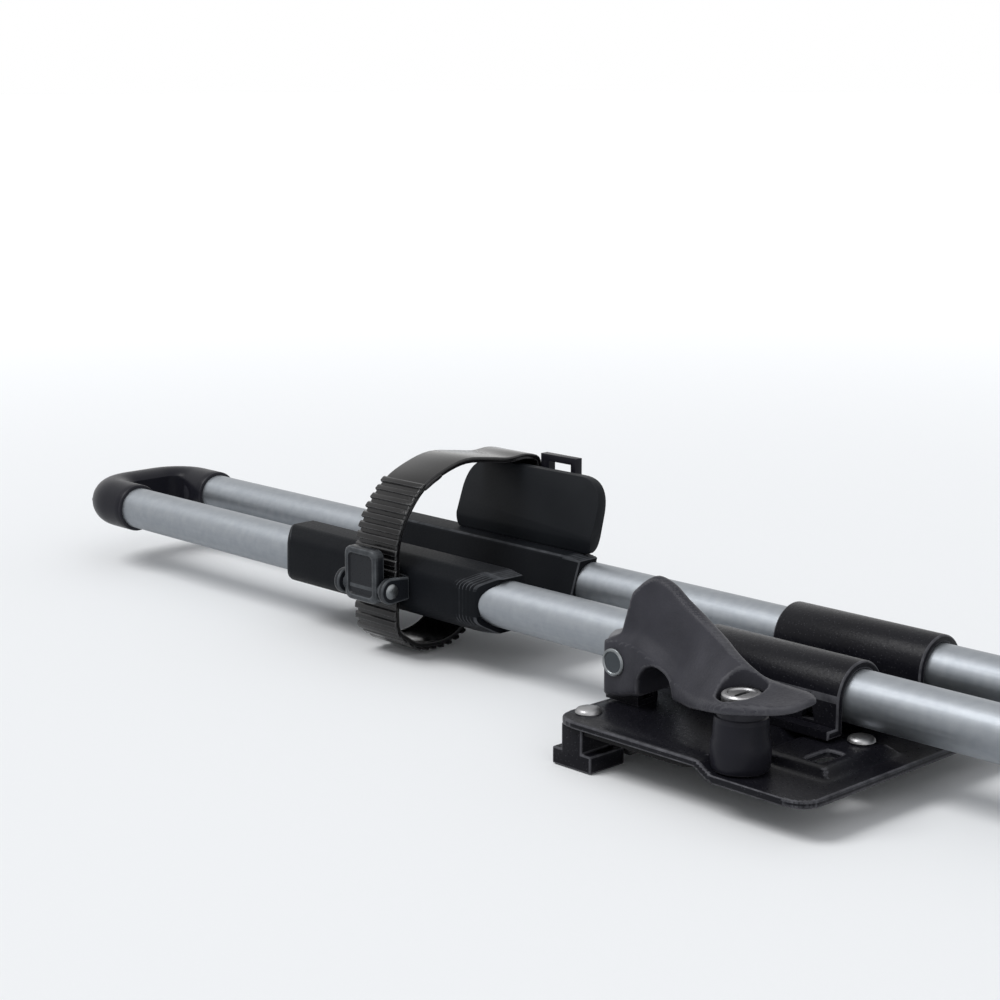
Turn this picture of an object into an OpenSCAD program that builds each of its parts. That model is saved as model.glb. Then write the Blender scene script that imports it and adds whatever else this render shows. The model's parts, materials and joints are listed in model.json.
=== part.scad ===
// Roof bike carrier: two rails on two roof-bar feet, two strapped wheel holders and a folding frame arm.
// Frame: origin on the rear foot's seat above the roof-bar slot, midway between the rails.
// +X runs along the rails to the front, +Z is up, and -Y is the side with the clamping levers.

/* [Rails] */
// Outside diameter of each rail tube
tube_d = 20; // [18:0.5:22]
// Wall of each rail tube
tube_wall = 1.6; // [1:0.1:2.5]
// Distance between the axes of the two tubes
rail_spacing = 48.8; // [46:0.2:54]
// Length of each tube
rail_length = 1446; // [1400:2:1600]
// How far the tubes reach behind the rear foot's slot
rail_overhang = 380; // [360:1:420]

/* [End loops] */
// Wall of a loop's leg around the tube
loop_wall = 1.7; // [1.2:0.1:3]
// Depth of a loop's sockets
loop_socket = 16; // [10:1:24]
// Bend radius of a loop at its middle line
loop_bend = 16; // [14:0.5:20]

/* [Wheel holders] */
// Place of the rear wheel's hub along the rails
rear_hub_x = -138; // [-160:1:-130]
// Place of the front wheel's hub along the rails
front_hub_x = 900; // [880:1:930]
// Length of a holder behind the hub
holder_back = 97; // [80:1:110]
// Length of a holder in front of the hub
holder_front = 42; // [36:1:50]
// Wall of a holder outside its tubes
holder_side = 2.2; // [1.5:0.1:4]
// Wall of a holder above and below its tubes
holder_cover = 3; // [2:0.1:5]
// Height of the crease on a holder's side above the tube axis
holder_crease = 8.5; // [6:0.5:10]
// Width of the wheel trough at the top
trough_top = 32; // [28:0.5:34]
// Width of the wheel trough at the floor
trough_floor = 20; // [14:0.5:24]
// Depth of the trough's floor below the tube axis
trough_depth = 4; // [0:0.5:7]

/* [Straps] */
// Width of a wheel strap
strap_w = 25; // [20:0.5:28]
// Thickness of a wheel strap
strap_t = 3; // [2:0.1:4]
// Distance of a strap's middle behind the hub
strap_back = 22.5; // [18:0.5:26]
// Length of the rim rest on the far side
rest_len = 84; // [60:1:92]
// Thickness of the rim rest
rest_t = 4; // [3:0.5:6]

/* [Buckles] */
// Width of a buckle's thumb lever
thumb_w = 22; // [18:0.5:23]
// Height of a thumb lever above its pin
thumb_rise = 16; // [12:0.5:18]
// Thickness of a thumb lever
thumb_t = 5.3; // [4.5:0.1:6]
// Diameter of a buckle pin
buckle_pin_d = 3.4; // [2.4:0.1:4]
// Thickness of a buckle's side ears
buckle_ear_t = 3; // [2:0.1:4]
// Radius of a buckle's side ears
buckle_ear_r = 6.5; // [5:0.1:7]

/* [Feet] */
// Distance between the two roof bars
bar_spread = 660; // [640:1:680]
// Thickness of the rubber seat pad
pad_t = 3; // [2:0.1:4]
// Thickness of a foot plate
plate_t = 3; // [2:0.1:4]
// Air between a foot plate and a tube
tube_clear = 2; // [1:0.1:4]
// Reach of a foot plate behind the slot
plate_back = 8; // [6:0.5:12]
// Reach of a foot plate in front of the slot
plate_front = 107; // [100:1:120]
// Where a foot plate steps down in front of the roof bar
step_x = 60; // [56:0.5:64]
// Drop of the step
step_drop = 4; // [2:0.1:4.5]
// Reach of a foot plate on the lever side
plate_near = 89; // [86:0.5:96]
// Reach of a foot plate on the far side
plate_far = 40; // [38:0.5:50]
// Sheet thickness of the tube saddle
saddle_t = 3; // [2:0.1:3.5]
// Place of the saddle's rear edge
saddle_x = 12.5; // [12:0.5:16]
// Length of the saddle along the tubes
saddle_len = 68; // [60:0.5:74]
// Slot opening of the roof bar
slot_w = 11; // [10:0.1:12]
// Depth of the slot's lips below the seat
slot_lip = 7; // [5:0.1:8]
// Width of the slot below its lips
slot_inner = 20; // [18:0.1:22]

/* [Clamping levers] */
// Height of a lever's pivot above the foot plate
pivot_rise = 16; // [15:0.1:18]
// Distance of the lever's pull line from the middle of the carrier
pull_y = 55; // [54:0.1:57]
// Diameter of a lever pin
lever_pin_d = 8; // [6:0.1:9]
// Throw of the pin's eccentric
throw = 1.5; // [1:0.1:2]
// Diameter of the pin's eccentric
eccentric_d = 12; // [11.6:0.1:13]
// Diameter of the pull bolt's shank
pull_d = 8; // [6:0.1:9]
// Diameter of a lock post
post_d = 21; // [18:0.1:23]
// Height of a lock post above the stepped-down plate
post_h = 19; // [16:0.1:19.2]
// Diameter of a lock barrel
barrel_d = 12; // [9:0.1:15]
// Height of a barrel's head above its post
barrel_rise = 2; // [1.6:0.1:2.2]

/* [Frame arm] */
// Place of the arm's pivot along the rails
arm_x = 560; // [545:1:575]
// Distance of the arm from the middle of the carrier
arm_y = 40; // [39:0.5:46]
// Height of the arm's pivot above the tube axis
arm_rise = 32; // [31:0.5:40]
// Backward lean of the arm in use, in degrees
arm_lean = 15; // [0:1:25]
// Height of the arm tube's top above the pivot
arm_len = 440; // [420:1:450]
// Depth of the arm tube along the rails
arm_deep = 30; // [26:0.5:32]
// Width of the arm tube
arm_w = 20; // [18:0.5:20]
// Wall of the arm tube
arm_wall = 2; // [1.5:0.1:2.5]
// Diameter of the arm's pivot bolt
arm_bolt_d = 10; // [8:0.1:12]
// Widest grip of the jaws
grip_max = 70; // [60:1:74]
// Depth of the lower jaw's seat below the arm's top
jaw_seat = 140; // [130:1:160]
// Reach of the jaws across the frame tube
jaw_reach = 72; // [64:0.5:74]
// Thickness of a jaw along the arm
jaw_t = 18; // [14:0.5:22]
// Thickness of a jaw's rubber pad
jaw_pad_t = 4; // [2:0.1:6]
// Diameter of the clamping spindle
spindle_d = 8; // [6:0.1:9]
// Diameter of the clamping knob
knob_d = 38; // [32:0.5:40]
// Height of the clamping knob
knob_h = 26; // [20:0.5:30]

/* [Fits] */
// Radial clearance of a fixed socket or clamp around its tube
fit_clamp = 0.1; // [0.05:0.01:0.15]
// Radial clearance of a holder that slides along the tubes
fit_slide = 0.15; // [0.1:0.01:0.3]
// Radial clearance of a pin in its bore
fit_pin = 0.05; // [0.03:0.01:0.1]
// Gap between neighbouring parts that move past each other
gap = 0.4; // [0.3:0.05:0.6]

/* [Hidden] */
$fn = 64;
cut = 1;
far = 200;
tube_r = tube_d / 2;
half = rail_spacing / 2;
plate_top = pad_t + plate_t;
axis_z = plate_top + tube_clear + tube_r;
rail_front = rail_length - rail_overhang;
leg_r = tube_r + loop_wall;

// Holder outline, in a frame with the hub at x = 0 and the tube axes at z = 0
holder_half = half + tube_r + holder_side;
holder_top = tube_r + holder_cover;
holder_chamfer = 7;
end_chamfer = 9;

// Strap path from the far keeper over the rim to the loose tail, as (y, z) points, widening with the rails
strap_out = holder_half - 36.6;
strap_lift = holder_top - 13;
strap_points = [
    [45, 40], [44, 45.6], [36, 47.8], [26, 47.4], [14, 49], [0, 50.3], [-13, 47.3], [-25, 41.6], [-34.4, 31],
    [-39.3, 20], [-40.4, 8], [-40.4, -4], [-40.8, -12], [-39.8, -19], [-35, -23.4], [-28, -27.3],
    [-16, -28.4], [-7, -26.5], [0, -22]
];
strap_steps = 3;
strap_run_y = -40.4 - strap_out;
strap_outer_y = strap_run_y - strap_t / 2;

// Buckle: the pin lies outside the strap, and the ears stand beside it
buckle_boss_r = 3.6;
buckle_pin_y = strap_outer_y - buckle_boss_r - 0.9;
buckle_pin_z = 0.5;
buckle_in = strap_w / 2 + gap;
buckle_base_t = 1.6;
spring_r = buckle_boss_r - 0.3;
spring_w = 6;
thumb_lip = 0.9;

// Far side: rim rest and strap keeper
rest_y = half + 12.6;
rest_top = 44;
keeper_len = 30;
keeper_wall = 2;
tab_end = 12;
tab_rim = 3;

// Foot
pull_line = -pull_y;
pivot_z = plate_top + pivot_rise;
low_top = plate_top - step_drop;
key_neck = slot_w - 1;
key_foot = slot_inner - 1;
key_y = [-plate_near + 11, plate_far - 10];
key_len = 18;
key_bottom = -slot_lip - 6.5;
pull_head_top = -slot_lip - 0.5;
pull_head_t = 3.5;
pull_head_len = 22;
rivet_d = 6;
saddle_in = tube_r + fit_clamp;
saddle_out = saddle_in + saddle_t;
flange = 5;
web_bolt_d = 6;
web_bolt_x = [saddle_x + 15, saddle_x + saddle_len - 15];
post_x = 70;
post_y = -77;
island_x = [67, 95];
island_y = [-66, -25];

// Lever, in a frame with its pivot at x = 0 and z = pivot_z
eye_half = 2.5;
eye_slack = 0.8;
eye_wall = 2.5;
eye_in_r = eccentric_d / 2 + eye_slack;
eye_out_r = eye_in_r + eye_wall;
ear_t = 2.5;
ear_r = lever_pin_d / 2 + 4;
ear_in = eye_half + gap;
ear_out = ear_in + ear_t;
cheek_in = ear_out + gap;
lever_sweep_r = pivot_rise - 0.6;
lever_room_r = throw + eye_out_r + 1;
lever_hole_d = 18;
bracket_t = 2;

// Arm, in a frame with its pivot at the origin and the arm along +Z
arm_z = axis_z + arm_rise;
knuckle_r = arm_deep / 2 - 2;
cheek_gap = 0.4;
cheek_t = 4;
base_half = 30;
base_top = axis_z + tube_r + 4;
base_bottom = axis_z - tube_r - 4;
split = 0.6;
screw_d = 6;
lower_seat = arm_len - jaw_seat;
upper_seat = lower_seat + grip_max;
cap_t = 6;
collar_t = 4;

// Shared shapes

module along_x(r, x0, x1) {
    translate([x0, 0, 0])
        rotate([0, 90, 0])
            cylinder(r = r, h = x1 - x0);
}

module along_y(r, y0, y1) {
    translate([0, y1, 0])
        rotate([90, 0, 0])
            cylinder(r = r, h = y1 - y0);
}

module span(x0, x1, y0, y1, z0, z1) {
    translate([x0, y0, z0])
        cube([x1 - x0, y1 - y0, z1 - z0]);
}

// A flat outline in (y, z), drawn out along x
module across(x0, x1) {
    translate([x0, 0, 0])
        rotate([90, 0, 90])
            linear_extrude(x1 - x0)
                children();
}

// A flat outline in (x, z), drawn out along y
module sideways(y0, y1) {
    translate([0, y1, 0])
        rotate([90, 0, 0])
            linear_extrude(y1 - y0)
                children();
}

module rounded_plan(x0, x1, y0, y1, r) {
    translate([x0 + r, y0])
        square([x1 - x0 - 2 * r, y1 - y0]);
    translate([x0, y0 + r])
        square([x1 - x0, y1 - y0 - 2 * r]);
    for (x = [x0 + r, x1 - r], y = [y0 + r, y1 - r])
        translate([x, y])
            circle(r = r);
}

// Smooth curve through hand-chosen points
function blend(a, b, c, d, t) =
    0.5 * (2 * b + (c - a) * t + (2 * a - 5 * b + 4 * c - d) * t * t + (3 * b - a - 3 * c + d) * t * t * t);
function clamp_i(i, n) = max(0, min(n - 1, i));
function smooth(p, steps) = [
    for (i = [0 : len(p) - 2], s = [0 : steps - 1])
        blend(p[clamp_i(i - 1, len(p))], p[i], p[i + 1], p[clamp_i(i + 2, len(p))], s / steps),
    p[len(p) - 1]
];
function unit(v) = v / norm(v);
function side(p, i) =
    let (d = unit(p[clamp_i(i + 1, len(p))] - p[clamp_i(i - 1, len(p))])) [-d[1], d[0]];

// Rails

module rail(y) {
    translate([0, y, axis_z])
        difference() {
            along_x(tube_r, -rail_overhang, rail_front);
            along_x(tube_r - tube_wall, -rail_overhang - cut, rail_front + cut);
        }
}

module near_tube() { color("silver") rail(-half); }
module far_tube() { color("silver") rail(half); }

// Loop with its sockets opening towards +x and the tube ends at x = 0
module end_loop() {
    for (s = [-1, 1])
        translate([0, s * half, 0]) {
            difference() {
                along_x(leg_r, 0, loop_socket);
                along_x(tube_r + fit_clamp, 0, loop_socket + cut);
            }
            translate([0, -s * loop_bend, 0])
                rotate([0, 0, s > 0 ? 90 : 180])
                    rotate_extrude(angle = 90)
                        translate([loop_bend, 0])
                            circle(r = leg_r);
        }
    translate([-loop_bend, 0, 0])
        along_y(leg_r, -half + loop_bend, half - loop_bend);
}

module rear_end_loop() {
    color("#26272b")
        translate([-rail_overhang, 0, axis_z])
            end_loop();
}
module front_end_loop() {
    color("#26272b")
        translate([rail_front, 0, axis_z])
            rotate([0, 0, 180])
                end_loop();
}

// Wheel holders

module holder_section() {
    polygon([
        [-holder_half + holder_chamfer, -holder_top],
        [-holder_half, -holder_crease],
        [-holder_half, holder_crease],
        [-holder_half + holder_chamfer, holder_top],
        [-trough_top / 2, holder_top],
        [-trough_floor / 2, -trough_depth],
        [trough_floor / 2, -trough_depth],
        [trough_top / 2, holder_top],
        [holder_half - holder_chamfer, holder_top],
        [holder_half, holder_crease],
        [holder_half, -holder_crease],
        [holder_half - holder_chamfer, -holder_top]
    ]);
}

module holder_plan() {
    polygon([
        [-holder_back, -holder_half + end_chamfer],
        [-holder_back + end_chamfer, -holder_half],
        [holder_front - end_chamfer, -holder_half],
        [holder_front, -holder_half + end_chamfer],
        [holder_front, holder_half - end_chamfer],
        [holder_front - end_chamfer, holder_half],
        [-holder_back + end_chamfer, holder_half],
        [-holder_back, holder_half - end_chamfer]
    ]);
}

module wheel_holder() {
    difference() {
        intersection() {
            across(-holder_back, holder_front)
                holder_section();
            translate([0, 0, -far])
                linear_extrude(2 * far)
                    holder_plan();
        }
        for (s = [-1, 1])
            translate([0, s * half, 0])
                along_x(tube_r + fit_slide, -holder_back - cut, holder_front + cut);
    }
}

module strap() {
    path = smooth([for (p = strap_points) [p[0] + sign(p[0]) * strap_out, p[1] + strap_lift * sign(p[1])]], strap_steps);
    n = len(path);
    left = [for (i = [0 : n - 1]) path[i] + side(path, i) * strap_t / 2];
    right = [for (i = [n - 1 : -1 : 0]) path[i] - side(path, i) * strap_t / 2];
    across(-strap_back - strap_w / 2, -strap_back + strap_w / 2)
        polygon(concat(left, right));
}

// Upright wing on the far saddle that the rim leans on; the strap runs over its top
module rim_rest() {
    foot = holder_top;
    across(-strap_back - strap_w / 2 - 8, -strap_back - strap_w / 2 - 8 + rest_len)
        polygon([
            [rest_y - 9, foot], [rest_y - 9 - rest_t, foot],
            [rest_y - 9 - rest_t, foot + 6], [rest_y - rest_t, rest_top + strap_lift],
            [rest_y, rest_top + strap_lift], [rest_y - 9 + rest_t * 0.6, foot + 6]
        ]);
}

// Loop on the wing's outer face that holds the strap's end, with a grab tab beside the strap
module strap_keeper() {
    x0 = -strap_back - keeper_len / 2;
    x1 = x0 + keeper_len;
    y0 = rest_y + gap;
    end_y = strap_points[0][0] + strap_out + strap_t / 2 + gap;
    z0 = 34 + strap_lift;
    z1 = 42 + strap_lift;
    difference() {
        span(x0, x1, y0, end_y + keeper_wall, z0, z1);
        span(-strap_back - strap_w / 2 - gap, -strap_back + strap_w / 2 + gap,
             end_y - strap_t - 2 * gap, end_y, z0 + keeper_wall, z1 + cut);
    }
    difference() {
        span(x1 - keeper_wall, tab_end, end_y - keeper_wall, end_y + keeper_wall, z0, z1 + 2 * tab_rim);
        span(x1 + tab_rim, tab_end - tab_rim, end_y - far, end_y + far, z0 + tab_rim, z1 + tab_rim);
    }
}

module buckle_frame() {
    base_y = -holder_half;
    for (s = [-1, 1])
        difference() {
            union() {
                translate([-strap_back, 0, 0])
                    translate([s > 0 ? buckle_in : -buckle_in - buckle_ear_t, 0, 0])
                        across(0, buckle_ear_t) {
                            translate([buckle_pin_y, buckle_pin_z])
                                circle(r = buckle_ear_r);
                            translate([buckle_pin_y, buckle_pin_z - buckle_ear_r])
                                square([base_y - buckle_pin_y, 2 * buckle_ear_r]);
                        }
            }
            translate([-strap_back, buckle_pin_y, buckle_pin_z])
                along_x(buckle_pin_d / 2 + fit_pin, -strap_w, strap_w);
        }
    span(-strap_back - buckle_in, -strap_back + buckle_in, base_y - buckle_base_t, base_y,
         buckle_pin_z - buckle_ear_r, buckle_pin_z + buckle_ear_r);
}

module thumb_lever() {
    translate([-strap_back, buckle_pin_y, buckle_pin_z])
        difference() {
            union() {
                across(-thumb_w / 2, thumb_w / 2)
                    polygon([
                        [-thumb_t + thumb_lip, thumb_rise], [thumb_lip, thumb_rise], [thumb_lip, 0],
                        [3.6, -4.2], [4.2, -6], [0, -5.6], [-thumb_t + thumb_lip, -4]
                    ]);
                along_x(buckle_boss_r, -strap_w / 2, strap_w / 2);
            }
            along_x(buckle_pin_d / 2 + fit_pin, -strap_w, strap_w);
            along_x(spring_r + gap, -spring_w / 2 - gap, spring_w / 2 + gap);
            span(-thumb_w / 2 + 3.5, thumb_w / 2 - 3.5, -thumb_t + thumb_lip - cut, -thumb_t + thumb_lip + 0.8,
                 -1, thumb_rise - 3);
        }
}

module buckle_pin() {
    reach = buckle_in + buckle_ear_t + 0.6;
    translate([-strap_back, buckle_pin_y, buckle_pin_z])
        along_x(buckle_pin_d / 2, -reach, reach);
}

module buckle_spring() {
    translate([-strap_back, buckle_pin_y, buckle_pin_z])
        difference() {
            along_x(spring_r, -spring_w / 2, spring_w / 2);
            along_x(buckle_pin_d / 2 + fit_pin, -spring_w, spring_w);
        }
}

module at_rear_hub() { translate([rear_hub_x, 0, axis_z]) children(); }
module at_front_hub() { translate([front_hub_x, 0, axis_z]) children(); }

module rear_wheel_holder() { color("#2a2d31") at_rear_hub() wheel_holder(); }
module rear_strap() { color("#1d1c1c") at_rear_hub() strap(); }
module rear_rim_rest() { color("#2f343b") at_rear_hub() rim_rest(); }
module rear_strap_keeper() { color("#17171a") at_rear_hub() strap_keeper(); }
module rear_buckle_frame() { color("#1e2023") at_rear_hub() buckle_frame(); }
module rear_thumb_lever() { color("#2a2f33") at_rear_hub() thumb_lever(); }
module rear_buckle_pin() { color("dimgray") at_rear_hub() buckle_pin(); }
module rear_buckle_spring() { color("gray") at_rear_hub() buckle_spring(); }
module front_wheel_holder() { color("#2a2d31") at_front_hub() wheel_holder(); }
module front_strap() { color("#1d1c1c") at_front_hub() strap(); }
module front_rim_rest() { color("#2f343b") at_front_hub() rim_rest(); }
module front_strap_keeper() { color("#17171a") at_front_hub() strap_keeper(); }
module front_buckle_frame() { color("#1e2023") at_front_hub() buckle_frame(); }
module front_thumb_lever() { color("#2a2f33") at_front_hub() thumb_lever(); }
module front_buckle_pin() { color("dimgray") at_front_hub() buckle_pin(); }
module front_buckle_spring() { color("gray") at_front_hub() buckle_spring(); }

// Feet

module slot_holes(clear) {
    translate([0, pull_line, -far])
        cylinder(d = pull_d + 2 * clear, h = 2 * far);
}

// Pressed plate that steps down in front of the roof bar, with one raised island
module foot_plate() {
    r = 8;
    run = 1.2 * step_drop;
    step_profile = [
        [-plate_back, pad_t], [step_x, pad_t], [step_x + run, pad_t - step_drop],
        [plate_front, pad_t - step_drop], [plate_front, low_top],
        [step_x + run + plate_t / 2, low_top], [step_x + plate_t / 2, plate_top], [-plate_back, plate_top]
    ];
    difference() {
        union() {
            intersection() {
                sideways(-plate_near, plate_far)
                    polygon(step_profile);
                translate([0, 0, -far])
                    linear_extrude(2 * far)
                        rounded_plan(-plate_back, plate_front, -plate_near, plate_far, r);
            }
            translate([0, 0, low_top])
                linear_extrude(step_drop)
                    rounded_plan(island_x[0], island_x[1], island_y[0], island_y[1], 5);
        }
        slot_holes(0.5);
        for (y = key_y)
            translate([0, y, -far])
                cylinder(d = rivet_d + 2 * fit_clamp, h = 2 * far);
        for (x = web_bolt_x)
            translate([x, 0, -far])
                cylinder(d = web_bolt_d + 2 * fit_clamp, h = 2 * far);
        translate([island_x[1] - 8, island_y[1] - 7, -far])
            cylinder(d = rivet_d + 2 * fit_clamp, h = 2 * far);
        span(island_x[1] - 12, island_x[1] - 4, island_y[0] + 6, island_y[0] + 20, -far, far);
        translate([post_x, post_y, -far])
            cylinder(d = barrel_d + 2 * gap, h = 2 * far);
        // Round seat for the lock post
        translate([post_x, post_y, low_top])
            cylinder(d = post_d + 2 * fit_clamp, h = far);
    }
}

module seat_pad() {
    difference() {
        linear_extrude(pad_t)
            rounded_plan(-plate_back + 2, step_x - 4, -plate_near + 3, plate_far - 3, 6);
        slot_holes(1);
        for (y = key_y)
            span(-key_neck / 2 - gap, key_neck / 2 + gap, y - key_len / 2 - gap, y + key_len / 2 + gap, -cut, pad_t + cut);
        for (x = web_bolt_x)
            translate([x, 0, -cut])
                cylinder(d = web_bolt_d + 2 * gap, h = pad_t + 2 * cut);
    }
}

module arch(r, drop) {
    circle(r = r);
    translate([-r, -drop])
        square([2 * r, drop]);
}

// One pressed sheet: two arches over the tubes, a web between them and a flange outside each
module tube_saddle() {
    drop = axis_z - plate_top;
    difference() {
        translate([0, 0, axis_z])
            across(saddle_x, saddle_x + saddle_len)
                difference() {
                    intersection() {
                        union() {
                            for (s = [-1, 1])
                                translate([s * half, 0])
                                    arch(saddle_out, drop);
                            translate([-half - saddle_out - flange, -drop])
                                square([2 * (half + saddle_out + flange), saddle_t]);
                        }
                        translate([-far, -drop])
                            square([2 * far, 2 * far]);
                    }
                    for (s = [-1, 1])
                        translate([s * half, 0])
                            arch(saddle_in, drop + cut);
                }
        for (x = web_bolt_x)
            translate([x, 0, -far])
                cylinder(d = web_bolt_d + 2 * fit_clamp, h = 2 * far);
        sideways(-half - saddle_out - cut, -half)
            polygon([
                [saddle_x + saddle_len - 16, plate_top + saddle_t + 1], [saddle_x + saddle_len - 10, plate_top + saddle_t + 1],
                [saddle_x + saddle_len - 12, axis_z + 2]
            ]);
    }
}

module saddle_bolts() {
    for (x = web_bolt_x)
        translate([x, 0, 0]) {
            translate([0, 0, pad_t])
                cylinder(d = web_bolt_d, h = plate_t + saddle_t);
            translate([0, 0, plate_top + saddle_t])
                cylinder(d = 2 * web_bolt_d - 1, h = 4);
        }
}

// Keys that slide in the roof bar's slot, under its lips
module slot_keys() {
    for (y = key_y)
        difference() {
            union() {
                span(-key_neck / 2, key_neck / 2, y - key_len / 2, y + key_len / 2, -slot_lip, pad_t);
                span(-key_foot / 2, key_foot / 2, y - key_len / 2, y + key_len / 2, key_bottom, -slot_lip);
            }
            translate([0, y, key_bottom + 2])
                cylinder(d = rivet_d + 2 * fit_clamp, h = far);
        }
}

module rivets() {
    head_h = 2;
    for (y = key_y)
        translate([0, y, 0]) {
            translate([0, 0, key_bottom + 2])
                cylinder(d = rivet_d, h = plate_top - key_bottom - 2);
            translate([0, 0, plate_top])
                cylinder(d1 = rivet_d + 4, d2 = rivet_d + 1, h = head_h);
        }
    translate([island_x[1] - 8, island_y[1] - 7, 0]) {
        translate([0, 0, pad_t - step_drop])
            cylinder(d = rivet_d, h = plate_t + step_drop);
        translate([0, 0, plate_top])
            cylinder(d1 = rivet_d + 5, d2 = rivet_d + 2, h = head_h);
    }
}

// Two ears that carry the lever's pin
module lever_bracket() {
    difference() {
        union() {
            for (s = [-1, 1])
                sideways(pull_line + (s > 0 ? ear_in : -ear_out), pull_line + (s > 0 ? ear_out : -ear_in)) {
                    translate([0, pivot_z])
                        circle(r = ear_r);
                    translate([-ear_r, plate_top])
                        square([2 * ear_r, pivot_rise]);
                }
            span(-ear_r, ear_r, pull_line - ear_out, pull_line + ear_out, plate_top, plate_top + bracket_t);
        }
        translate([0, 0, pivot_z])
            along_y(lever_pin_d / 2 + fit_pin, pull_line - far, pull_line + far);
        slot_holes(0.5);
    }
}

// Outlines of the lever across its length: place along x, then six (y, z) corners from the pull line and the plate
lever_cuts = [
    [-6.2, [[-11, 1.5], [-11, 23], [5, 41], [8, 41], [11, 38], [11, 1.5]]],
    [10, [[-12, 5], [-12, 27], [2, 48], [9, 47], [11, 34], [11, 5]]],
    [34, [[-14, 8], [-14, 17], [-2, 42], [5, 41], [6, 26], [3, 16]]],
    [60, [[-33, 15.8], [-33, 20], [-13, 34], [-9, 33], [-9, 28], [-9, 24]]],
    [84, [[-33, 19], [-33, 23], [-16, 28], [-13, 27], [-13, 24.5], [-13, 22]]],
    [97, [[-25, 24], [-25, 26], [-20, 27], [-19, 26], [-19, 25], [-19, 24]]]
];

// Skin through outlines that all have the same number of corners
module loft(cuts) {
    n = len(cuts[0][1]);
    last = (len(cuts) - 1) * n;
    points = [for (c = cuts, p = c[1]) [c[0], p[0], p[1]]];
    sides = [
        for (i = [0 : len(cuts) - 2], j = [0 : n - 1])
            let (a = i * n + j, b = i * n + (j + 1) % n)
                each [[a, b, b + n], [a, b + n, a + n]]
    ];
    polyhedron(points, concat(sides, [[for (j = [n - 1 : -1 : 0]) j], [for (j = [0 : n - 1]) last + j]]));
}

module lever() {
    difference() {
        translate([0, pull_line, plate_top])
            loft(lever_cuts);
        translate([0, 0, pivot_z]) {
            // Room for the ears and the pull bolt's eye through the whole swing
            sideways(pull_line - cheek_in, pull_line + cheek_in) {
                circle(r = lever_room_r);
                translate([-far, -far])
                    square([far, far + lever_room_r]);
                translate([-cut, -far])
                    square([lever_room_r + cut, far]);
            }
            // The heel is rounded about the pivot so that it clears the plate
            sideways(pull_line - far, pull_line + far)
                difference() {
                    translate([-far, -far])
                        square([far, far]);
                    circle(r = lever_sweep_r);
                }
            along_y(lever_pin_d / 2 + fit_clamp, pull_line - far, pull_line + far);
        }
        // Finger arch
        sideways(pull_line - far, pull_line + far) {
            translate([22, plate_top + 10])
                circle(r = 9);
            translate([13, -far])
                square([18, plate_top + 10 + far]);
        }
        // Hole that shows the lock barrel
        translate([post_x, post_y, 0])
            cylinder(d = lever_hole_d, h = far);
    }
}

module lever_pin() {
    translate([0, 0, pivot_z]) {
        along_y(lever_pin_d / 2, pull_line - 12.4, pull_line + 11.4);
        along_y(lever_pin_d / 2 + 1.2, pull_line - 13.6, pull_line - 12.4);
        translate([0, 0, throw])
            along_y(eccentric_d / 2, pull_line - eye_half - gap / 2, pull_line + eye_half + gap / 2);
    }
}

// Bolt that the eccentric draws up; its head grips the roof bar's slot from inside
module pull_bolt() {
    difference() {
        union() {
            translate([0, 0, pivot_z + throw])
                sideways(pull_line - eye_half, pull_line + eye_half) {
                    for (x = [-throw, 0])
                        translate([x, 0])
                            circle(r = eye_out_r);
                    translate([-throw, -eye_out_r])
                        square([throw, 2 * eye_out_r]);
                }
            translate([0, pull_line, pull_head_top])
                cylinder(d = pull_d, h = pivot_z - eye_in_r + throw - pull_head_top);
            span(-key_foot / 2, key_foot / 2, pull_line - pull_head_len / 2, pull_line + pull_head_len / 2,
                 pull_head_top - pull_head_t, pull_head_top);
        }
        translate([0, 0, pivot_z + throw])
            sideways(pull_line - far, pull_line + far) {
                for (x = [-throw, 0])
                    translate([x, 0])
                        circle(r = eye_in_r);
                translate([-throw, -eye_in_r])
                    square([throw, 2 * eye_in_r]);
            }
    }
}

module lock_post() {
    barrel_r = barrel_d / 2;
    translate([post_x, post_y, low_top])
        difference() {
            rotate_extrude()
                polygon([
                    [0, 0], [post_d / 2 - 0.8, 0], [post_d / 2, post_h * 0.25], [post_d / 2, post_h * 0.55],
                    [post_d / 2 - 1.2, post_h], [0, post_h]
                ]);
            translate([0, 0, -cut])
                cylinder(r = barrel_r + fit_pin, h = far);
        }
}

module lock_barrel() {
    translate([post_x, post_y, low_top])
        difference() {
            union() {
                cylinder(d = barrel_d, h = post_h + 1);
                translate([0, 0, post_h + gap])
                    cylinder(d = barrel_d + 3, h = barrel_rise - gap);
            }
            span(-0.8, 0.8, -3.5, 3.5, post_h + barrel_rise - 5.6, far);
        }
}

module at_rear_bar() { children(); }
module at_front_bar() { translate([bar_spread, 0, 0]) children(); }

module rear_foot_plate() { color("#2b2b2f") at_rear_bar() foot_plate(); }
module rear_seat_pad() { color("#161616") at_rear_bar() seat_pad(); }
module rear_tube_saddle() { color("#25272c") at_rear_bar() tube_saddle(); }
module rear_saddle_bolts() { color("silver") at_rear_bar() saddle_bolts(); }
module rear_slot_keys() { color("#202022") at_rear_bar() slot_keys(); }
module rear_rivets() { color("silver") at_rear_bar() rivets(); }
module rear_lever_bracket() { color("#4a4b50") at_rear_bar() lever_bracket(); }
module rear_lever() { color("#3a3a40") at_rear_bar() lever(); }
module rear_lever_pin() { color("silver") at_rear_bar() lever_pin(); }
module rear_pull_bolt() { color("silver") at_rear_bar() pull_bolt(); }
module rear_lock_post() { color("#2f2f34") at_rear_bar() lock_post(); }
module rear_lock_barrel() { color("silver") at_rear_bar() lock_barrel(); }
module front_foot_plate() { color("#2b2b2f") at_front_bar() foot_plate(); }
module front_seat_pad() { color("#161616") at_front_bar() seat_pad(); }
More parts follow.
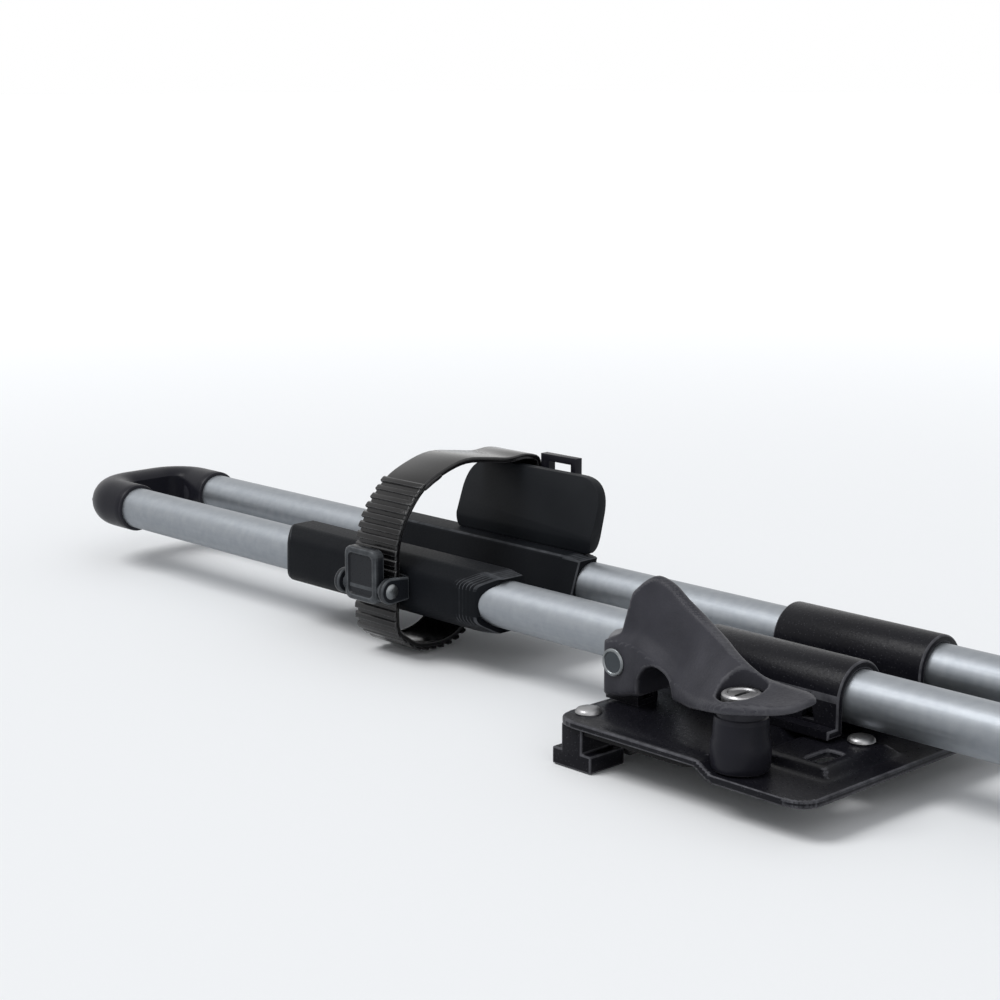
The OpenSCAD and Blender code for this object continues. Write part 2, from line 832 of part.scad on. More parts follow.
module front_tube_saddle() { color("#25272c") at_front_bar() tube_saddle(); }
module front_saddle_bolts() { color("silver") at_front_bar() saddle_bolts(); }
module front_slot_keys() { color("#202022") at_front_bar() slot_keys(); }
module front_rivets() { color("silver") at_front_bar() rivets(); }
module front_lever_bracket() { color("#4a4b50") at_front_bar() lever_bracket(); }
module front_lever() { color("#3a3a40") at_front_bar() lever(); }
module front_lever_pin() { color("silver") at_front_bar() lever_pin(); }
module front_pull_bolt() { color("silver") at_front_bar() pull_bolt(); }
module front_lock_post() { color("#2f2f34") at_front_bar() lock_post(); }
module front_lock_barrel() { color("silver") at_front_bar() lock_barrel(); }

// Frame arm

base_y0 = -half - tube_r - 5;
base_y1 = arm_y + arm_w / 2 + cheek_gap + cheek_t;
screw_x = [-base_half + 7, base_half - 7];
screw_y = [base_y0 + 5 - tube_r, 0, half + tube_r + 5];

module arm_base() {
    color("#242529")
        translate([arm_x, 0, 0])
            difference() {
                union() {
                    translate([0, 0, axis_z + split])
                        linear_extrude(base_top - axis_z - split)
                            rounded_plan(-base_half, base_half, base_y0 - tube_r, base_y1 + 2, 6);
                    for (s = [-1, 1])
                        sideways(arm_y + (s > 0 ? arm_w / 2 + cheek_gap : -arm_w / 2 - cheek_gap - cheek_t),
                                 arm_y + (s > 0 ? arm_w / 2 + cheek_gap + cheek_t : -arm_w / 2 - cheek_gap)) {
                            translate([0, arm_z])
                                circle(r = knuckle_r);
                            translate([-knuckle_r, base_top - 1])
                                square([2 * knuckle_r, arm_z - base_top + 1]);
                        }
                }
                for (s = [-1, 1])
                    translate([0, s * half, axis_z])
                        along_x(tube_r + fit_clamp, -far, far);
                translate([0, 0, arm_z])
                    along_y(arm_bolt_d / 2 + fit_pin, -far, far);
                for (x = screw_x, y = screw_y)
                    translate([x, y, 0])
                        cylinder(d = screw_d + 2 * fit_clamp, h = far);
            }
}

module arm_base_clamp() {
    color("#242529")
        translate([arm_x, 0, 0])
            difference() {
                translate([0, 0, base_bottom])
                    linear_extrude(axis_z - split - base_bottom)
                        rounded_plan(-base_half, base_half, base_y0 - tube_r, half + tube_r + 11, 6);
                for (s = [-1, 1])
                    translate([0, s * half, axis_z])
                        along_x(tube_r + fit_clamp, -far, far);
                for (x = screw_x, y = screw_y)
                    translate([x, y, -far])
                        cylinder(d = screw_d + 2 * fit_clamp, h = 2 * far);
            }
}

module arm_base_screws() {
    color("silver")
        translate([arm_x, 0, 0])
            for (x = screw_x, y = screw_y)
                translate([x, y, 0]) {
                    translate([0, 0, base_bottom])
                        cylinder(d = screw_d, h = base_top - base_bottom);
                    translate([0, 0, base_bottom - 3])
                        cylinder(d = 2 * screw_d - 2, h = 3);
                }
}

module arm_pivot_bolt() {
    reach = arm_w / 2 + cheek_gap + cheek_t;
    color("silver")
        translate([arm_x, arm_y, arm_z]) {
            along_y(arm_bolt_d / 2, -reach - 2, reach + 2);
            for (s = [-1, 1])
                along_y(arm_bolt_d / 2 + 3, s > 0 ? reach : -reach - 3, s > 0 ? reach + 3 : -reach);
        }
}

// Places the arm's own upright frame on the pivot, leaning back as in use
module on_arm() {
    translate([arm_x, arm_y, arm_z])
        rotate([0, -arm_lean, 0])
            children();
}

module arm_outline(grow) {
    r = arm_w / 2 + grow;
    run = arm_deep - arm_w;
    for (x = [-run / 2, run / 2])
        translate([x, 0])
            circle(r = r);
    translate([-run / 2, -r])
        square([run, 2 * r]);
}

tube_foot = knuckle_r + 4;
jaw_sleeve = 6;
nut_slot = arm_w / 2;

module arm_knuckle() {
    color("#2a2b30")
        on_arm()
            difference() {
                union() {
                    along_y(knuckle_r, -arm_w / 2, arm_w / 2);
                    translate([-knuckle_r, -arm_w / 2, 0])
                        cube([2 * knuckle_r, arm_w, tube_foot]);
                    translate([0, 0, tube_foot])
                        linear_extrude(24)
                            arm_outline(-arm_wall - fit_clamp);
                }
                along_y(arm_bolt_d / 2 + fit_pin, -far, far);
            }
}

module arm_tube() {
    color("silver")
        on_arm()
            difference() {
                translate([0, 0, tube_foot])
                    linear_extrude(arm_len - tube_foot)
                        arm_outline(0);
                translate([0, 0, tube_foot - cut])
                    linear_extrude(arm_len)
                        arm_outline(-arm_wall);
                // Slot that the upper jaw's nut runs in
                span(-nut_slot / 2, nut_slot / 2, -far, 0, lower_seat + 20, upper_seat + jaw_pad_t + jaw_t + 6);
            }
}

module arm_cap() {
    color("#1f2024")
        on_arm()
            difference() {
                union() {
                    translate([0, 0, arm_len])
                        linear_extrude(cap_t)
                            arm_outline(1.5);
                    translate([0, 0, arm_len - 12])
                        linear_extrude(12)
                            arm_outline(-arm_wall - fit_clamp);
                }
                translate([0, 0, arm_len - 20])
                    cylinder(d = spindle_d + 2 * fit_pin, h = far);
            }
}

// A jaw in side outline: a sleeve round the arm tube and a finger across the frame tube, hooked at its end
module jaw_finger(z0, z1, hook) {
    tip = -jaw_reach;
    across(-arm_deep / 2 + 3, arm_deep / 2 - 3)
        polygon(hook > 0
            ? [[-arm_w / 2, z0], [tip, z0 + 4], [tip, z1 + hook], [tip + 5, z1 + hook], [tip + 9, z1], [-arm_w / 2, z1]]
            : [[-arm_w / 2, z1], [tip, z1 - 4], [tip, z0 + hook], [tip + 5, z0 + hook], [tip + 9, z0], [-arm_w / 2, z0]]);
}

module sleeve(z0, z1, clear) {
    difference() {
        translate([0, 0, z0])
            linear_extrude(z1 - z0)
                arm_outline(jaw_sleeve);
        translate([0, 0, z0 - cut])
            linear_extrude(z1 - z0 + 2 * cut)
                arm_outline(clear);
    }
}

module outside_tube(clear) {
    difference() {
        children();
        translate([0, 0, -far])
            linear_extrude(2 * arm_len)
                arm_outline(clear);
    }
}

hook_h = 8;

module lower_jaw() {
    z1 = lower_seat - jaw_pad_t;
    color("#26272c")
        on_arm() {
            sleeve(z1 - jaw_t - 12, z1, fit_clamp);
            outside_tube(fit_clamp)
                jaw_finger(z1 - jaw_t, z1, hook_h);
        }
}

module jaw_pad(z0) {
    span(-arm_deep / 2 + 4, arm_deep / 2 - 4, -jaw_reach + 10, -arm_w / 2 - jaw_sleeve - gap, z0, z0 + jaw_pad_t);
}

module lower_jaw_pad() {
    color("#141414") on_arm() jaw_pad(lower_seat - jaw_pad_t);
}

module upper_jaw() {
    z0 = upper_seat + jaw_pad_t;
    nut_half = arm_w / 2 - arm_wall - gap;
    color("#26272c")
        on_arm()
            difference() {
                union() {
                    sleeve(z0, z0 + jaw_t + 4, gap);
                    outside_tube(gap)
                        jaw_finger(z0, z0 + jaw_t, -hook_h);
                    // Nut inside the tube and the bridge to it through the slot
                    translate([0, 0, z0])
                        linear_extrude(jaw_t)
                            arm_outline(-arm_wall - gap);
                    span(-nut_slot / 2 + gap, nut_slot / 2 - gap, -arm_w / 2 - 2, -nut_half + cut, z0, z0 + jaw_t);
                }
                translate([0, 0, z0 - cut])
                    cylinder(d = spindle_d + 2 * fit_pin, h = jaw_t + 4 + 2 * cut);
            }
}

module upper_jaw_pad() {
    color("#141414") on_arm() jaw_pad(upper_seat);
}

module clamp_spindle() {
    color("silver")
        on_arm()
            translate([0, 0, lower_seat + 12])
                cylinder(d = spindle_d, h = arm_len + cap_t + collar_t + 14 - lower_seat - 12);
}

module clamp_knob() {
    lobes = 6;
    color("#1b1c20")
        on_arm()
            translate([0, 0, arm_len + cap_t + gap])
                difference() {
                    union() {
                        cylinder(d = spindle_d + 10, h = collar_t);
                        translate([0, 0, collar_t - gap])
                            cylinder(d = knob_d, h = knob_h - collar_t);
                    }
                    for (i = [0 : lobes - 1])
                        rotate([0, 0, i * 360 / lobes])
                            translate([knob_d / 2 + 4, 0, collar_t - cut])
                                cylinder(d = 14, h = knob_h);
                    translate([0, 0, -cut])
                        cylinder(d = spindle_d + 2 * fit_clamp, h = collar_t + 14 - gap + cut);
                }
}

near_tube();
far_tube();
rear_end_loop();
front_end_loop();
rear_wheel_holder();
rear_strap();
rear_rim_rest();
rear_strap_keeper();
rear_buckle_frame();
rear_thumb_lever();
rear_buckle_pin();
rear_buckle_spring();
front_wheel_holder();
front_strap();
front_rim_rest();
front_strap_keeper();
front_buckle_frame();
front_thumb_lever();
front_buckle_pin();
front_buckle_spring();
rear_foot_plate();
rear_seat_pad();
rear_tube_saddle();
rear_saddle_bolts();
rear_slot_keys();
rear_rivets();
rear_lever_bracket();
rear_lever();
rear_lever_pin();
rear_pull_bolt();
rear_lock_post();
rear_lock_barrel();
front_foot_plate();
front_seat_pad();
front_tube_saddle();
front_saddle_bolts();
front_slot_keys();
front_rivets();
front_lever_bracket();
front_lever();
front_lever_pin();
front_pull_bolt();
front_lock_post();
front_lock_barrel();
arm_base();
arm_base_clamp();
arm_base_screws();
arm_pivot_bolt();
arm_knuckle();
arm_tube();
arm_cap();
lower_jaw();
lower_jaw_pad();
upper_jaw();
upper_jaw_pad();
clamp_spindle();
clamp_knob();
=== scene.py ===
"""Looks of a roof bike carrier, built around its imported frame.

Sizes in the piece classes are in millimetres and become metres where a mesh is made. The frame is the
carrier's own: +X runs along the rails to the front, +Z is up and -Y is the side with the clamping levers.
"""

import json
import logging
import math
from dataclasses import dataclass
from enum import Enum
from functools import partial
from typing import Sequence

import bmesh
import bpy
from mathutils import Matrix, Vector


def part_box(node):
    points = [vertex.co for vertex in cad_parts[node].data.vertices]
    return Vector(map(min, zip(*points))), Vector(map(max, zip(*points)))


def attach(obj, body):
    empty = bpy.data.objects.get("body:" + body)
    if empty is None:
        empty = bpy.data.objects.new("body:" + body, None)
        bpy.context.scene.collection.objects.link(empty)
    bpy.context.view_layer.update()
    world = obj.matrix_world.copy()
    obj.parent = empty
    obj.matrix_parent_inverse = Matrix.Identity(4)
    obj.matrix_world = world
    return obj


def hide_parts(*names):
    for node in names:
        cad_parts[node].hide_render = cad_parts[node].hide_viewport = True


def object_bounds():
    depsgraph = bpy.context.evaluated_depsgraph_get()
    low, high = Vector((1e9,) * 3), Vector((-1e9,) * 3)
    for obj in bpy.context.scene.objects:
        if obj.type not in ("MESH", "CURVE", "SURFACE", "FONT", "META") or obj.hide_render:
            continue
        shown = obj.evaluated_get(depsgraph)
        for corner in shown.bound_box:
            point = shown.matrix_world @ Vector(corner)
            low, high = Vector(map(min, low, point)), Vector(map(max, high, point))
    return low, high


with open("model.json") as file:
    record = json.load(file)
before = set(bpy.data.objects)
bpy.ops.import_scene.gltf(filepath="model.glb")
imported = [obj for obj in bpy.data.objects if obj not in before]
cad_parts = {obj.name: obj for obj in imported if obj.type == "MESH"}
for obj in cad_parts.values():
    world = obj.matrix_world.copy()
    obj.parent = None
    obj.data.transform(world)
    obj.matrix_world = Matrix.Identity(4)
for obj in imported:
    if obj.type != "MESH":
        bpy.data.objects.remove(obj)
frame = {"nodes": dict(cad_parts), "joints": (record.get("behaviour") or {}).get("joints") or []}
CAD_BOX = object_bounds()

LOG = logging.getLogger("carrier")
MM = 0.001
Point = tuple[float, float]
Triple = tuple[float, float, float]
Ring = list[Vector]
Thing = bpy.types.Object
Tree = bpy.types.NodeTree
Socket = bpy.types.NodeSocket
EDGE_ATTRIBUTE = "edge"


class End(Enum):
    """The two ends of the carrier, named as in the frame."""

    REAR = "rear"
    FRONT = "front"


# Nodes


def feed(tree: Tree, node: bpy.types.Node, inputs: dict) -> None:
    """Links or sets inputs of a node.

    Args:
        tree: The node's tree.
        node: The node.
        inputs: Socket that feeds each input, or its fixed value, by the input's name or index.
    """
    for key, value in inputs.items():
        if isinstance(value, Socket):
            tree.links.new(value, node.inputs[key])
        else:
            node.inputs[key].default_value = value


def add_node(tree: Tree, kind: str, inputs: dict | None = None, **settings: object) -> bpy.types.Node:
    """Adds a node to a tree.

    Args:
        tree: Tree that gets the node.
        kind: Type of the node.
        inputs: What feeds its inputs.
        settings: Its settings.

    Returns:
        The node.
    """
    node = tree.nodes.new(kind)
    for name, value in settings.items():
        setattr(node, name, value)
    feed(tree, node, inputs or {})
    return node


def new_group(kind: str, name: str, inputs: dict[str, str], outputs: dict[str, str]) -> Tree:
    """Makes an empty node group with its sockets.

    Args:
        kind: Type of the tree.
        name: Name of the group.
        inputs: Type of each socket going in, by name.
        outputs: Type of each socket coming out, by name.

    Returns:
        The group, with one Group Input and one Group Output node.
    """
    tree = bpy.data.node_groups.new(name, kind)
    for way, sockets in (("INPUT", inputs), ("OUTPUT", outputs)):
        for label, sort in sockets.items():
            tree.interface.new_socket(label, in_out=way, socket_type=f"NodeSocket{sort}")
    tree.nodes.new("NodeGroupInput")
    tree.nodes.new("NodeGroupOutput")
    return tree


def multiply(tree: Tree, first: Socket, second: object) -> Socket:
    """Product of two shares, each a socket or a value, kept between 0 and 1."""
    node = add_node(tree, "ShaderNodeMath", {0: first, 1: second}, operation="MULTIPLY", use_clamp=True)
    return node.outputs["Value"]


def smooth_ramp(tree: Tree, value: Socket, ends: Point, top: float = 1.0) -> Socket:
    """Eased rise of a value from 0 at the first end to the top at the second."""
    inputs = {"Value": value, "From Min": ends[0], "From Max": ends[1], "To Max": top}
    return add_node(tree, "ShaderNodeMapRange", inputs, interpolation_type="SMOOTHSTEP").outputs["Result"]


def noise_spread(tree: Tree, noise: Socket, low: float, high: float) -> Socket:
    """Stretches the usual values of a noise to the range between two values."""
    inputs = {"Value": noise, "From Min": 0.3, "From Max": 0.7, "To Min": low, "To Max": high}
    return add_node(tree, "ShaderNodeMapRange", inputs).outputs["Result"]


def mix_colours(tree: Tree, share: Socket, first: object, second: object) -> Socket:
    """Mix of two colours, each a socket or a value, by the share of the second."""
    node = add_node(tree, "ShaderNodeMix", {"Factor": share, "A": first, "B": second}, data_type="RGBA")
    return node.outputs["Result"]


# Shared shader effects


def fine_grain_group() -> Tree:
    """Group for the fine texture of a moulded, coated or drawn surface.

    Returns:
        A group that puts out a bump height and a mask of small bright specks, which are painted glints.
    """
    outputs = {"Height": "Float", "Speck": "Float"}
    tree = new_group("ShaderNodeTree", "fine_grain", {"Vector": "Vector", "Scale": "Float"}, outputs)
    source = tree.nodes["Group Input"].outputs
    inputs = {"Vector": source["Vector"], "Scale": source["Scale"]}
    noise = add_node(tree, "ShaderNodeTexNoise", {**inputs, "Detail": 3.0})
    cells = add_node(tree, "ShaderNodeTexVoronoi", inputs)
    speck = smooth_ramp(tree, cells.outputs["Distance"], (0.22, 0.08))
    feed(tree, tree.nodes["Group Output"], {"Height": noise.outputs["Fac"], "Speck": speck})
    return tree


def tone_drift_group() -> Tree:
    """Group for a slow change between two tones over a surface.

    Returns:
        A group that puts out a colour between its dark and light inputs.
    """
    inputs = {"Vector": "Vector", "Scale": "Float", "Dark": "Color", "Light": "Color"}
    tree = new_group("ShaderNodeTree", "tone_drift", inputs, {"Color": "Color"})
    source = tree.nodes["Group Input"].outputs
    inputs = {"Vector": source["Vector"], "Scale": source["Scale"], "Detail": 4.0}
    noise = add_node(tree, "ShaderNodeTexNoise", inputs)
    share = noise_spread(tree, noise.outputs["Fac"], 0.0, 1.0)
    colour = mix_colours(tree, share, source["Dark"], source["Light"])
    feed(tree, tree.nodes["Group Output"], {"Color": colour})
    return tree


def edge_wear_and_highlight_group() -> Tree:
    """Group that lightens rounded-over edges, broken up by noise: partly rubbing, partly a painted highlight.

    Returns:
        A group that puts out the given colour with its edges lightened, partly rubbed and partly painted
        highlight.
    """
    inputs = {"Vector": "Vector", "Color": "Color", "Worn": "Color", "Amount": "Float"}
    tree = new_group("ShaderNodeTree", "edge_wear", inputs, {"Color": "Color"})
    source = tree.nodes["Group Input"].outputs
    edge = add_node(tree, "ShaderNodeAttribute", attribute_name=EDGE_ATTRIBUTE)
    noise = add_node(tree, "ShaderNodeTexNoise", {"Vector": source["Vector"], "Detail": 3.0, "Scale": 260.0})
    broken = multiply(tree, smooth_ramp(tree, edge.outputs["Fac"], (0.3, 0.95)), noise.outputs["Fac"])
    # Edges lightened: partly rubbing, partly a painted highlight along them.
    worn = mix_colours(tree, multiply(tree, broken, source["Amount"]), source["Color"], source["Worn"])
    feed(tree, tree.nodes["Group Output"], {"Color": worn})
    return tree


FINE_GRAIN = fine_grain_group()
TONE_DRIFT = tone_drift_group()
# Lightens rounded-over edges: partly rubbing, partly painted highlight.
EDGE_WEAR_AND_HIGHLIGHT = edge_wear_and_highlight_group()


@dataclass(frozen=True)
class Finish:
    """Look of one kind of surface.

    Attributes:
        slot: Material slot of the record.
        dark: Darker of the two tones that the surface drifts between.
        light: Lighter of the two tones.
        worn: Colour of rubbed edges with their painted highlight, and of the specks, which are painted
            glints.
        wear: Strength of that edge colour: partly rubbing, partly painted highlight.
        roughness: Roughness in the grain's hollows and on its crests.
        metallic: Metallic value of the whole surface.
        specular: Specular level of the whole surface.
        grain: Grains per metre.
        depth: Height of the grain in millimetres.
        stretch: How the grain is drawn out along X, Y and Z.
        speck: Strength of the small bright specks of a powder coat, which are painted glints.
        drift: Tone changes per metre.
    """

    slot: str
    dark: Triple
    light: Triple
    worn: Triple
    wear: float
    roughness: Point
    metallic: float = 0.0
    specular: float = 0.35
    grain: float = 1500.0
    depth: float = 0.05
    stretch: Triple = (1.0, 1.0, 1.0)
    speck: float = 0.0
    drift: float = 30.0

    def material(self) -> bpy.types.Material:
        """Builds the finish's node material once, and gives it back each time."""
        made = bpy.data.materials.get(f"{self.slot}_finish")
        return made if made else self.build()

    def build(self) -> bpy.types.Material:
        """Builds the node material.

        Returns:
            The material, named after the record's slot.
        """
        material = bpy.data.materials.new(f"{self.slot}_finish")
        material.use_nodes = True
        tree = material.node_tree
        dark, light, worn = ((*tone, 1.0) for tone in (self.dark, self.light, self.worn))
        place = add_node(tree, "ShaderNodeTexCoord").outputs["Object"]
        mapping = add_node(tree, "ShaderNodeMapping", {"Vector": place, "Scale": self.stretch})
        drawn = mapping.outputs["Vector"]
        grain = self.effect(tree, FINE_GRAIN, {"Vector": drawn, "Scale": self.grain})
        inputs = {"Vector": drawn, "Scale": self.drift, "Dark": dark, "Light": light}
        colour = self.effect(tree, TONE_DRIFT, inputs)["Color"]
        # Small bright specks: painted glints of the powder coat's grain.
        if self.speck:
            colour = mix_colours(tree, multiply(tree, grain["Speck"], self.speck), colour, worn)
        # Rounded-over edges lightened: partly rubbing, partly painted highlight.
        inputs = {"Vector": place, "Color": colour, "Worn": worn, "Amount": self.wear}
        edges = self.effect(tree, EDGE_WEAR_AND_HIGHLIGHT, inputs)
        bump = add_node(tree, "ShaderNodeBump", {"Height": grain["Height"], "Distance": self.depth * MM})
        feed(tree, tree.nodes["Principled BSDF"], {
            "Base Color": edges["Color"],
            "Roughness": noise_spread(tree, grain["Height"], *self.roughness),
            "Normal": bump.outputs["Normal"],
            "Metallic": self.metallic,
            "Specular IOR Level": self.specular,
        })
        return material

    @staticmethod
    def effect(tree: Tree, group: Tree, inputs: dict) -> bpy.types.NodeOutputs:
        """Places a shared effect in a material and gives its outputs."""
        return add_node(tree, "ShaderNodeGroup", inputs, node_tree=group).outputs


class Look(Enum):
    """Every finish on the carrier."""

    TUBE = Finish(
        "tube_aluminium", (0.205, 0.223, 0.246), (0.250, 0.270, 0.295), (0.45, 0.47, 0.49), 0.4, (0.42, 0.52),
        metallic=0.92, grain=900.0, depth=0.012, stretch=(0.02, 1.0, 1.0), drift=60.0,
    )
    LOOP = Finish(
        "loop_plastic", (0.0085, 0.0085, 0.0125), (0.0125, 0.0125, 0.0170), (0.06, 0.06, 0.068), 0.6,
        (0.28, 0.40), specular=0.10, depth=0.02,
    )
    HOLDER = Finish(
        "holder_plastic", (0.0042, 0.0050, 0.0066), (0.0075, 0.0085, 0.0105), (0.10, 0.105, 0.115), 0.9,
        (0.48, 0.60), specular=0.05, grain=1100.0, depth=0.05,
    )
    STRAP = Finish(
        "strap_rubber", (0.0035, 0.0032, 0.0036), (0.0065, 0.0060, 0.0065), (0.16, 0.16, 0.165), 0.35,
        (0.10, 0.22), specular=0.3, depth=0.02,
    )
    REST = Finish(
        "rest_plastic", (0.0065, 0.0075, 0.0095), (0.0100, 0.0115, 0.0140), (0.08, 0.09, 0.1), 0.6,
        (0.42, 0.55), specular=0.1, depth=0.03,
    )
    BUCKLE = Finish(
        "buckle_plastic", (0.0085, 0.0095, 0.0120), (0.0125, 0.0140, 0.0170), (0.13, 0.14, 0.15), 0.9,
        (0.25, 0.38), specular=0.14, depth=0.02,
    )
    # The coat's small bright specks are painted glints.
    COAT = Finish(
        "coated_steel", (0.0045, 0.0045, 0.0066), (0.0075, 0.0075, 0.0102), (0.20, 0.20, 0.22), 0.6,
        (0.26, 0.40), specular=0.1, grain=900.0, depth=0.07, speck=0.2,
    )
    ZINC = Finish(
        "zinc_steel", (0.17, 0.17, 0.176), (0.27, 0.27, 0.28), (0.55, 0.55, 0.55), 0.5, (0.34, 0.50),
        metallic=1.0, grain=1600.0, depth=0.02, drift=140.0,
    )
    DARK_STEEL = Finish(
        "dark_steel", (0.045, 0.052, 0.058), (0.070, 0.078, 0.085), (0.4, 0.42, 0.43), 0.9, (0.28, 0.40),
        metallic=0.9, depth=0.02,
    )
    PAD = Finish(
        "pad_rubber", (0.0055, 0.0055, 0.0062), (0.0090, 0.0090, 0.0098), (0.03, 0.03, 0.03), 0.5,
        (0.6, 0.75), specular=0.12, depth=0.06,
    )
    LEVER = Finish(
        "lever_plastic", (0.0250, 0.0250, 0.0310), (0.0400, 0.0398, 0.0480), (0.17, 0.17, 0.18), 0.4,
        (0.38, 0.52), specular=0.1, grain=1000.0, depth=0.06, drift=70.0,
    )
    KNOB = Finish(
        "knob_plastic", (0.0075, 0.0075, 0.0100), (0.0115, 0.0115, 0.0145), (0.07, 0.07, 0.075), 0.7,
        (0.38, 0.52), specular=0.12, depth=0.05,
    )


# Flat outlines


def blend_points(points: Sequence[Point], steps: int) -> list[Point]:
    """Smooth curve through given points.

    Args:
        points: The points in order.
        steps: Stretches between neighbouring points.

    Returns:
        Points on the curve, ends included.
    """
    known = [Vector(p) for p in points]
    last = len(known) - 1
    curve = []
    for i in range(last):
        a, b, c, d = (known[min(max(i + k, 0), last)] for k in (-1, 0, 1, 2))
        for step in range(steps):
            t = step / steps
            spot = 2 * b + (c - a) * t + (2 * a - 5 * b + 4 * c - d) * t**2 + (3 * b - a - 3 * c + d) * t**3
            curve.append(tuple(spot / 2))
    curve.append(tuple(known[last]))
    return curve


def round_corners(corners: Sequence[Point], radius: float | Sequence[float], steps: int = 4) -> list[Point]:
    """Rounds the corners of a closed outline.

    Args:
        corners: Corners in order.
        radius: Fillet radius, or one for each corner.
        steps: Points on each rounded corner.

    Returns:
        The rounded outline, with the same number of points at every corner.
    """
    spots = [Vector(c) for c in corners]
    radii = [radius] * len(spots) if isinstance(radius, (int, float)) else list(radius)
    outline = []
    for i, corner in enumerate(spots):
        back = spots[i - 1] - corner
        ahead = spots[(i + 1) % len(spots)] - corner
        half = max(back.angle(ahead) / 2, 0.05)
        reach = min(max(radii[i], 0.05) / math.tan(half), 0.47 * back.length, 0.47 * ahead.length)
        start = corner + back.normalized() * reach
        stop = corner + ahead.normalized() * reach
        for k in range(steps):
            t = k / (steps - 1)
            outline.append(tuple((1 - t) ** 2 * start + 2 * t * (1 - t) * corner + t**2 * stop))
    return outline


def inset(outline: Sequence[Point], depth: float) -> list[Point]:
    """Moves every side of a closed outline inwards.

    Args:
        outline: Closed outline, in either direction.
        depth: Distance to move, with a negative one growing the outline.

    Returns:
        The moved outline, point for point.
    """
    count = len(outline)
    area = sum(outline[i - 1][0] * outline[i][1] - outline[i][0] * outline[i - 1][1] for i in range(count))
    turn = 1.0 if area > 0 else -1.0
    moved = []
    for i in range(count):
        spot = Vector(outline[i])
        back = (spot - Vector(outline[i - 1])).normalized()
        ahead = (Vector(outline[(i + 1) % count]) - spot).normalized()
        normals = [Vector((-d.y, d.x)) * turn for d in (back, ahead)]
        middle = (normals[0] + normals[1]) / max(1.0 + normals[0].dot(normals[1]), 0.35)
        moved.append(tuple(spot + middle * depth))
    return moved


def circle(radius: float, steps: int, centre: Point = (0.0, 0.0)) -> list[Point]:
    """Points round a circle, turning from the first axis to the second."""
    turns = [math.tau * i / steps for i in range(steps)]
    return [(centre[0] + radius * math.cos(a), centre[1] + radius * math.sin(a)) for a in turns]


def arc(centre: Point, radius: float, start: float, stop: float, steps: int) -> list[Point]:
    """Points on a circle between two angles in degrees, ends included."""
    turns = [math.radians(start + (stop - start) * i / steps) for i in range(steps + 1)]
    return [(centre[0] + radius * math.cos(a), centre[1] + radius * math.sin(a)) for a in turns]


def rounded_box(size: Point, radius: float, steps: int = 6, centre: Point = (0.0, 0.0)) -> list[Point]:
    """Outline of a rectangle with rounded corners.

    Args:
        size: Size of the rectangle.
        radius: Rounding of its corners.
        steps: Points on each corner.
        centre: Middle of the rectangle.

    Returns:
        The outline.
    """
    w, h = size[0] / 2, size[1] / 2
    corners = [(-w, -h), (w, -h), (w, h), (-w, h)]
    return [(centre[0] + x, centre[1] + y) for x, y in round_corners(corners, radius, steps)]


# Meshes


def at(x: float, y: float, z: float) -> Vector:
    """Point given in millimetres, in metres."""
    return Vector((x, y, z)) * MM


def to_object(name: str, solid: bmesh.types.BMesh) -> Thing:
    """Turns an edit mesh into a scene object.

    Args:
        name: Name of the object.
        solid: The edit mesh, which is freed.

    Returns:
        The linked object, at the origin.
    """
    mesh = bpy.data.meshes.new(name)
    solid.to_mesh(mesh)
    solid.free()
    made = bpy.data.objects.new(name, mesh)
    bpy.context.scene.collection.objects.link(made)
    return made


def loft(name: str, rings: Sequence[Ring], looped: bool = False) -> Thing:
    """Skins a closed solid through rings that all have the same number of points.

    Args:
        name: Name of the object.
        rings: The rings in order, in metres.
        looped: Whether the last ring joins the first one, which leaves no caps.

    Returns:
        The solid, with its faces outwards.
    """
    solid = bmesh.new()
    rows = [[solid.verts.new(spot) for spot in ring] for ring in rings]
    count = len(rows[0])
    pairs = list(zip(rows, rows[1:]))
    if looped:
        pairs.append((rows[-1], rows[0]))
    for low, high in pairs:
        for i in range(count):
            j = (i + 1) % count
            solid.faces.new((low[i], low[j], high[j], high[i]))
    if not looped:
        solid.faces.new(rows[0])
        solid.faces.new(rows[-1])
    bmesh.ops.recalc_face_normals(solid, faces=solid.faces)
    return to_object(name, solid)


def rounded_ends(start: float, stop: float, radius: float, steps: int = 4) -> list[Point]:
    """Places along a run and the inset at each, so that both ends come out rounded.

    Args:
        start: Start of the run.
        stop: End of the run.
        radius: Radius of the rounded ends.
        steps: Points on each end.

    Returns:
        Pairs of a place and its inset.
    """
    turns = [math.pi / 2 * i / (steps - 1) for i in range(steps)]
    head = [(start + radius * (1 - math.sin(a)), radius * (1 - math.cos(a))) for a in reversed(turns)]
    tail = [(start + stop - place, depth) for place, depth in reversed(head)]
    return head + tail


def along(axis: int, name: str, outline: Sequence[Point], start: float, stop: float, soft: float) -> Thing:
    """Solid of a flat outline drawn out along an axis, with rounded ends.

    Args:
        axis: Index of the axis.
        name: Name of the object.
        outline: Outline on the other two axes, in their order.
        start: Start of the solid.
        stop: End of the solid.
        soft: Radius of the rounded ends.

    Returns:
        The solid.
    """
    rings = []
    for place, depth in rounded_ends(start, stop, soft):
        rings.append([at(*spot[:axis], place, *spot[axis:]) for spot in inset(outline, depth)])
    return loft(name, rings)


along_x, along_y, along_z = (partial(along, axis) for axis in range(3))


def turned(name: str, profile: Sequence[Point], steps: int = 48, looped: bool = False) -> Thing:
    """Solid turned about Z from (radius, z) points, capped at both ends or closed on itself."""
    return loft(name, [[at(x, y, z) for x, y in circle(r, steps)] for r, z in profile], looped)


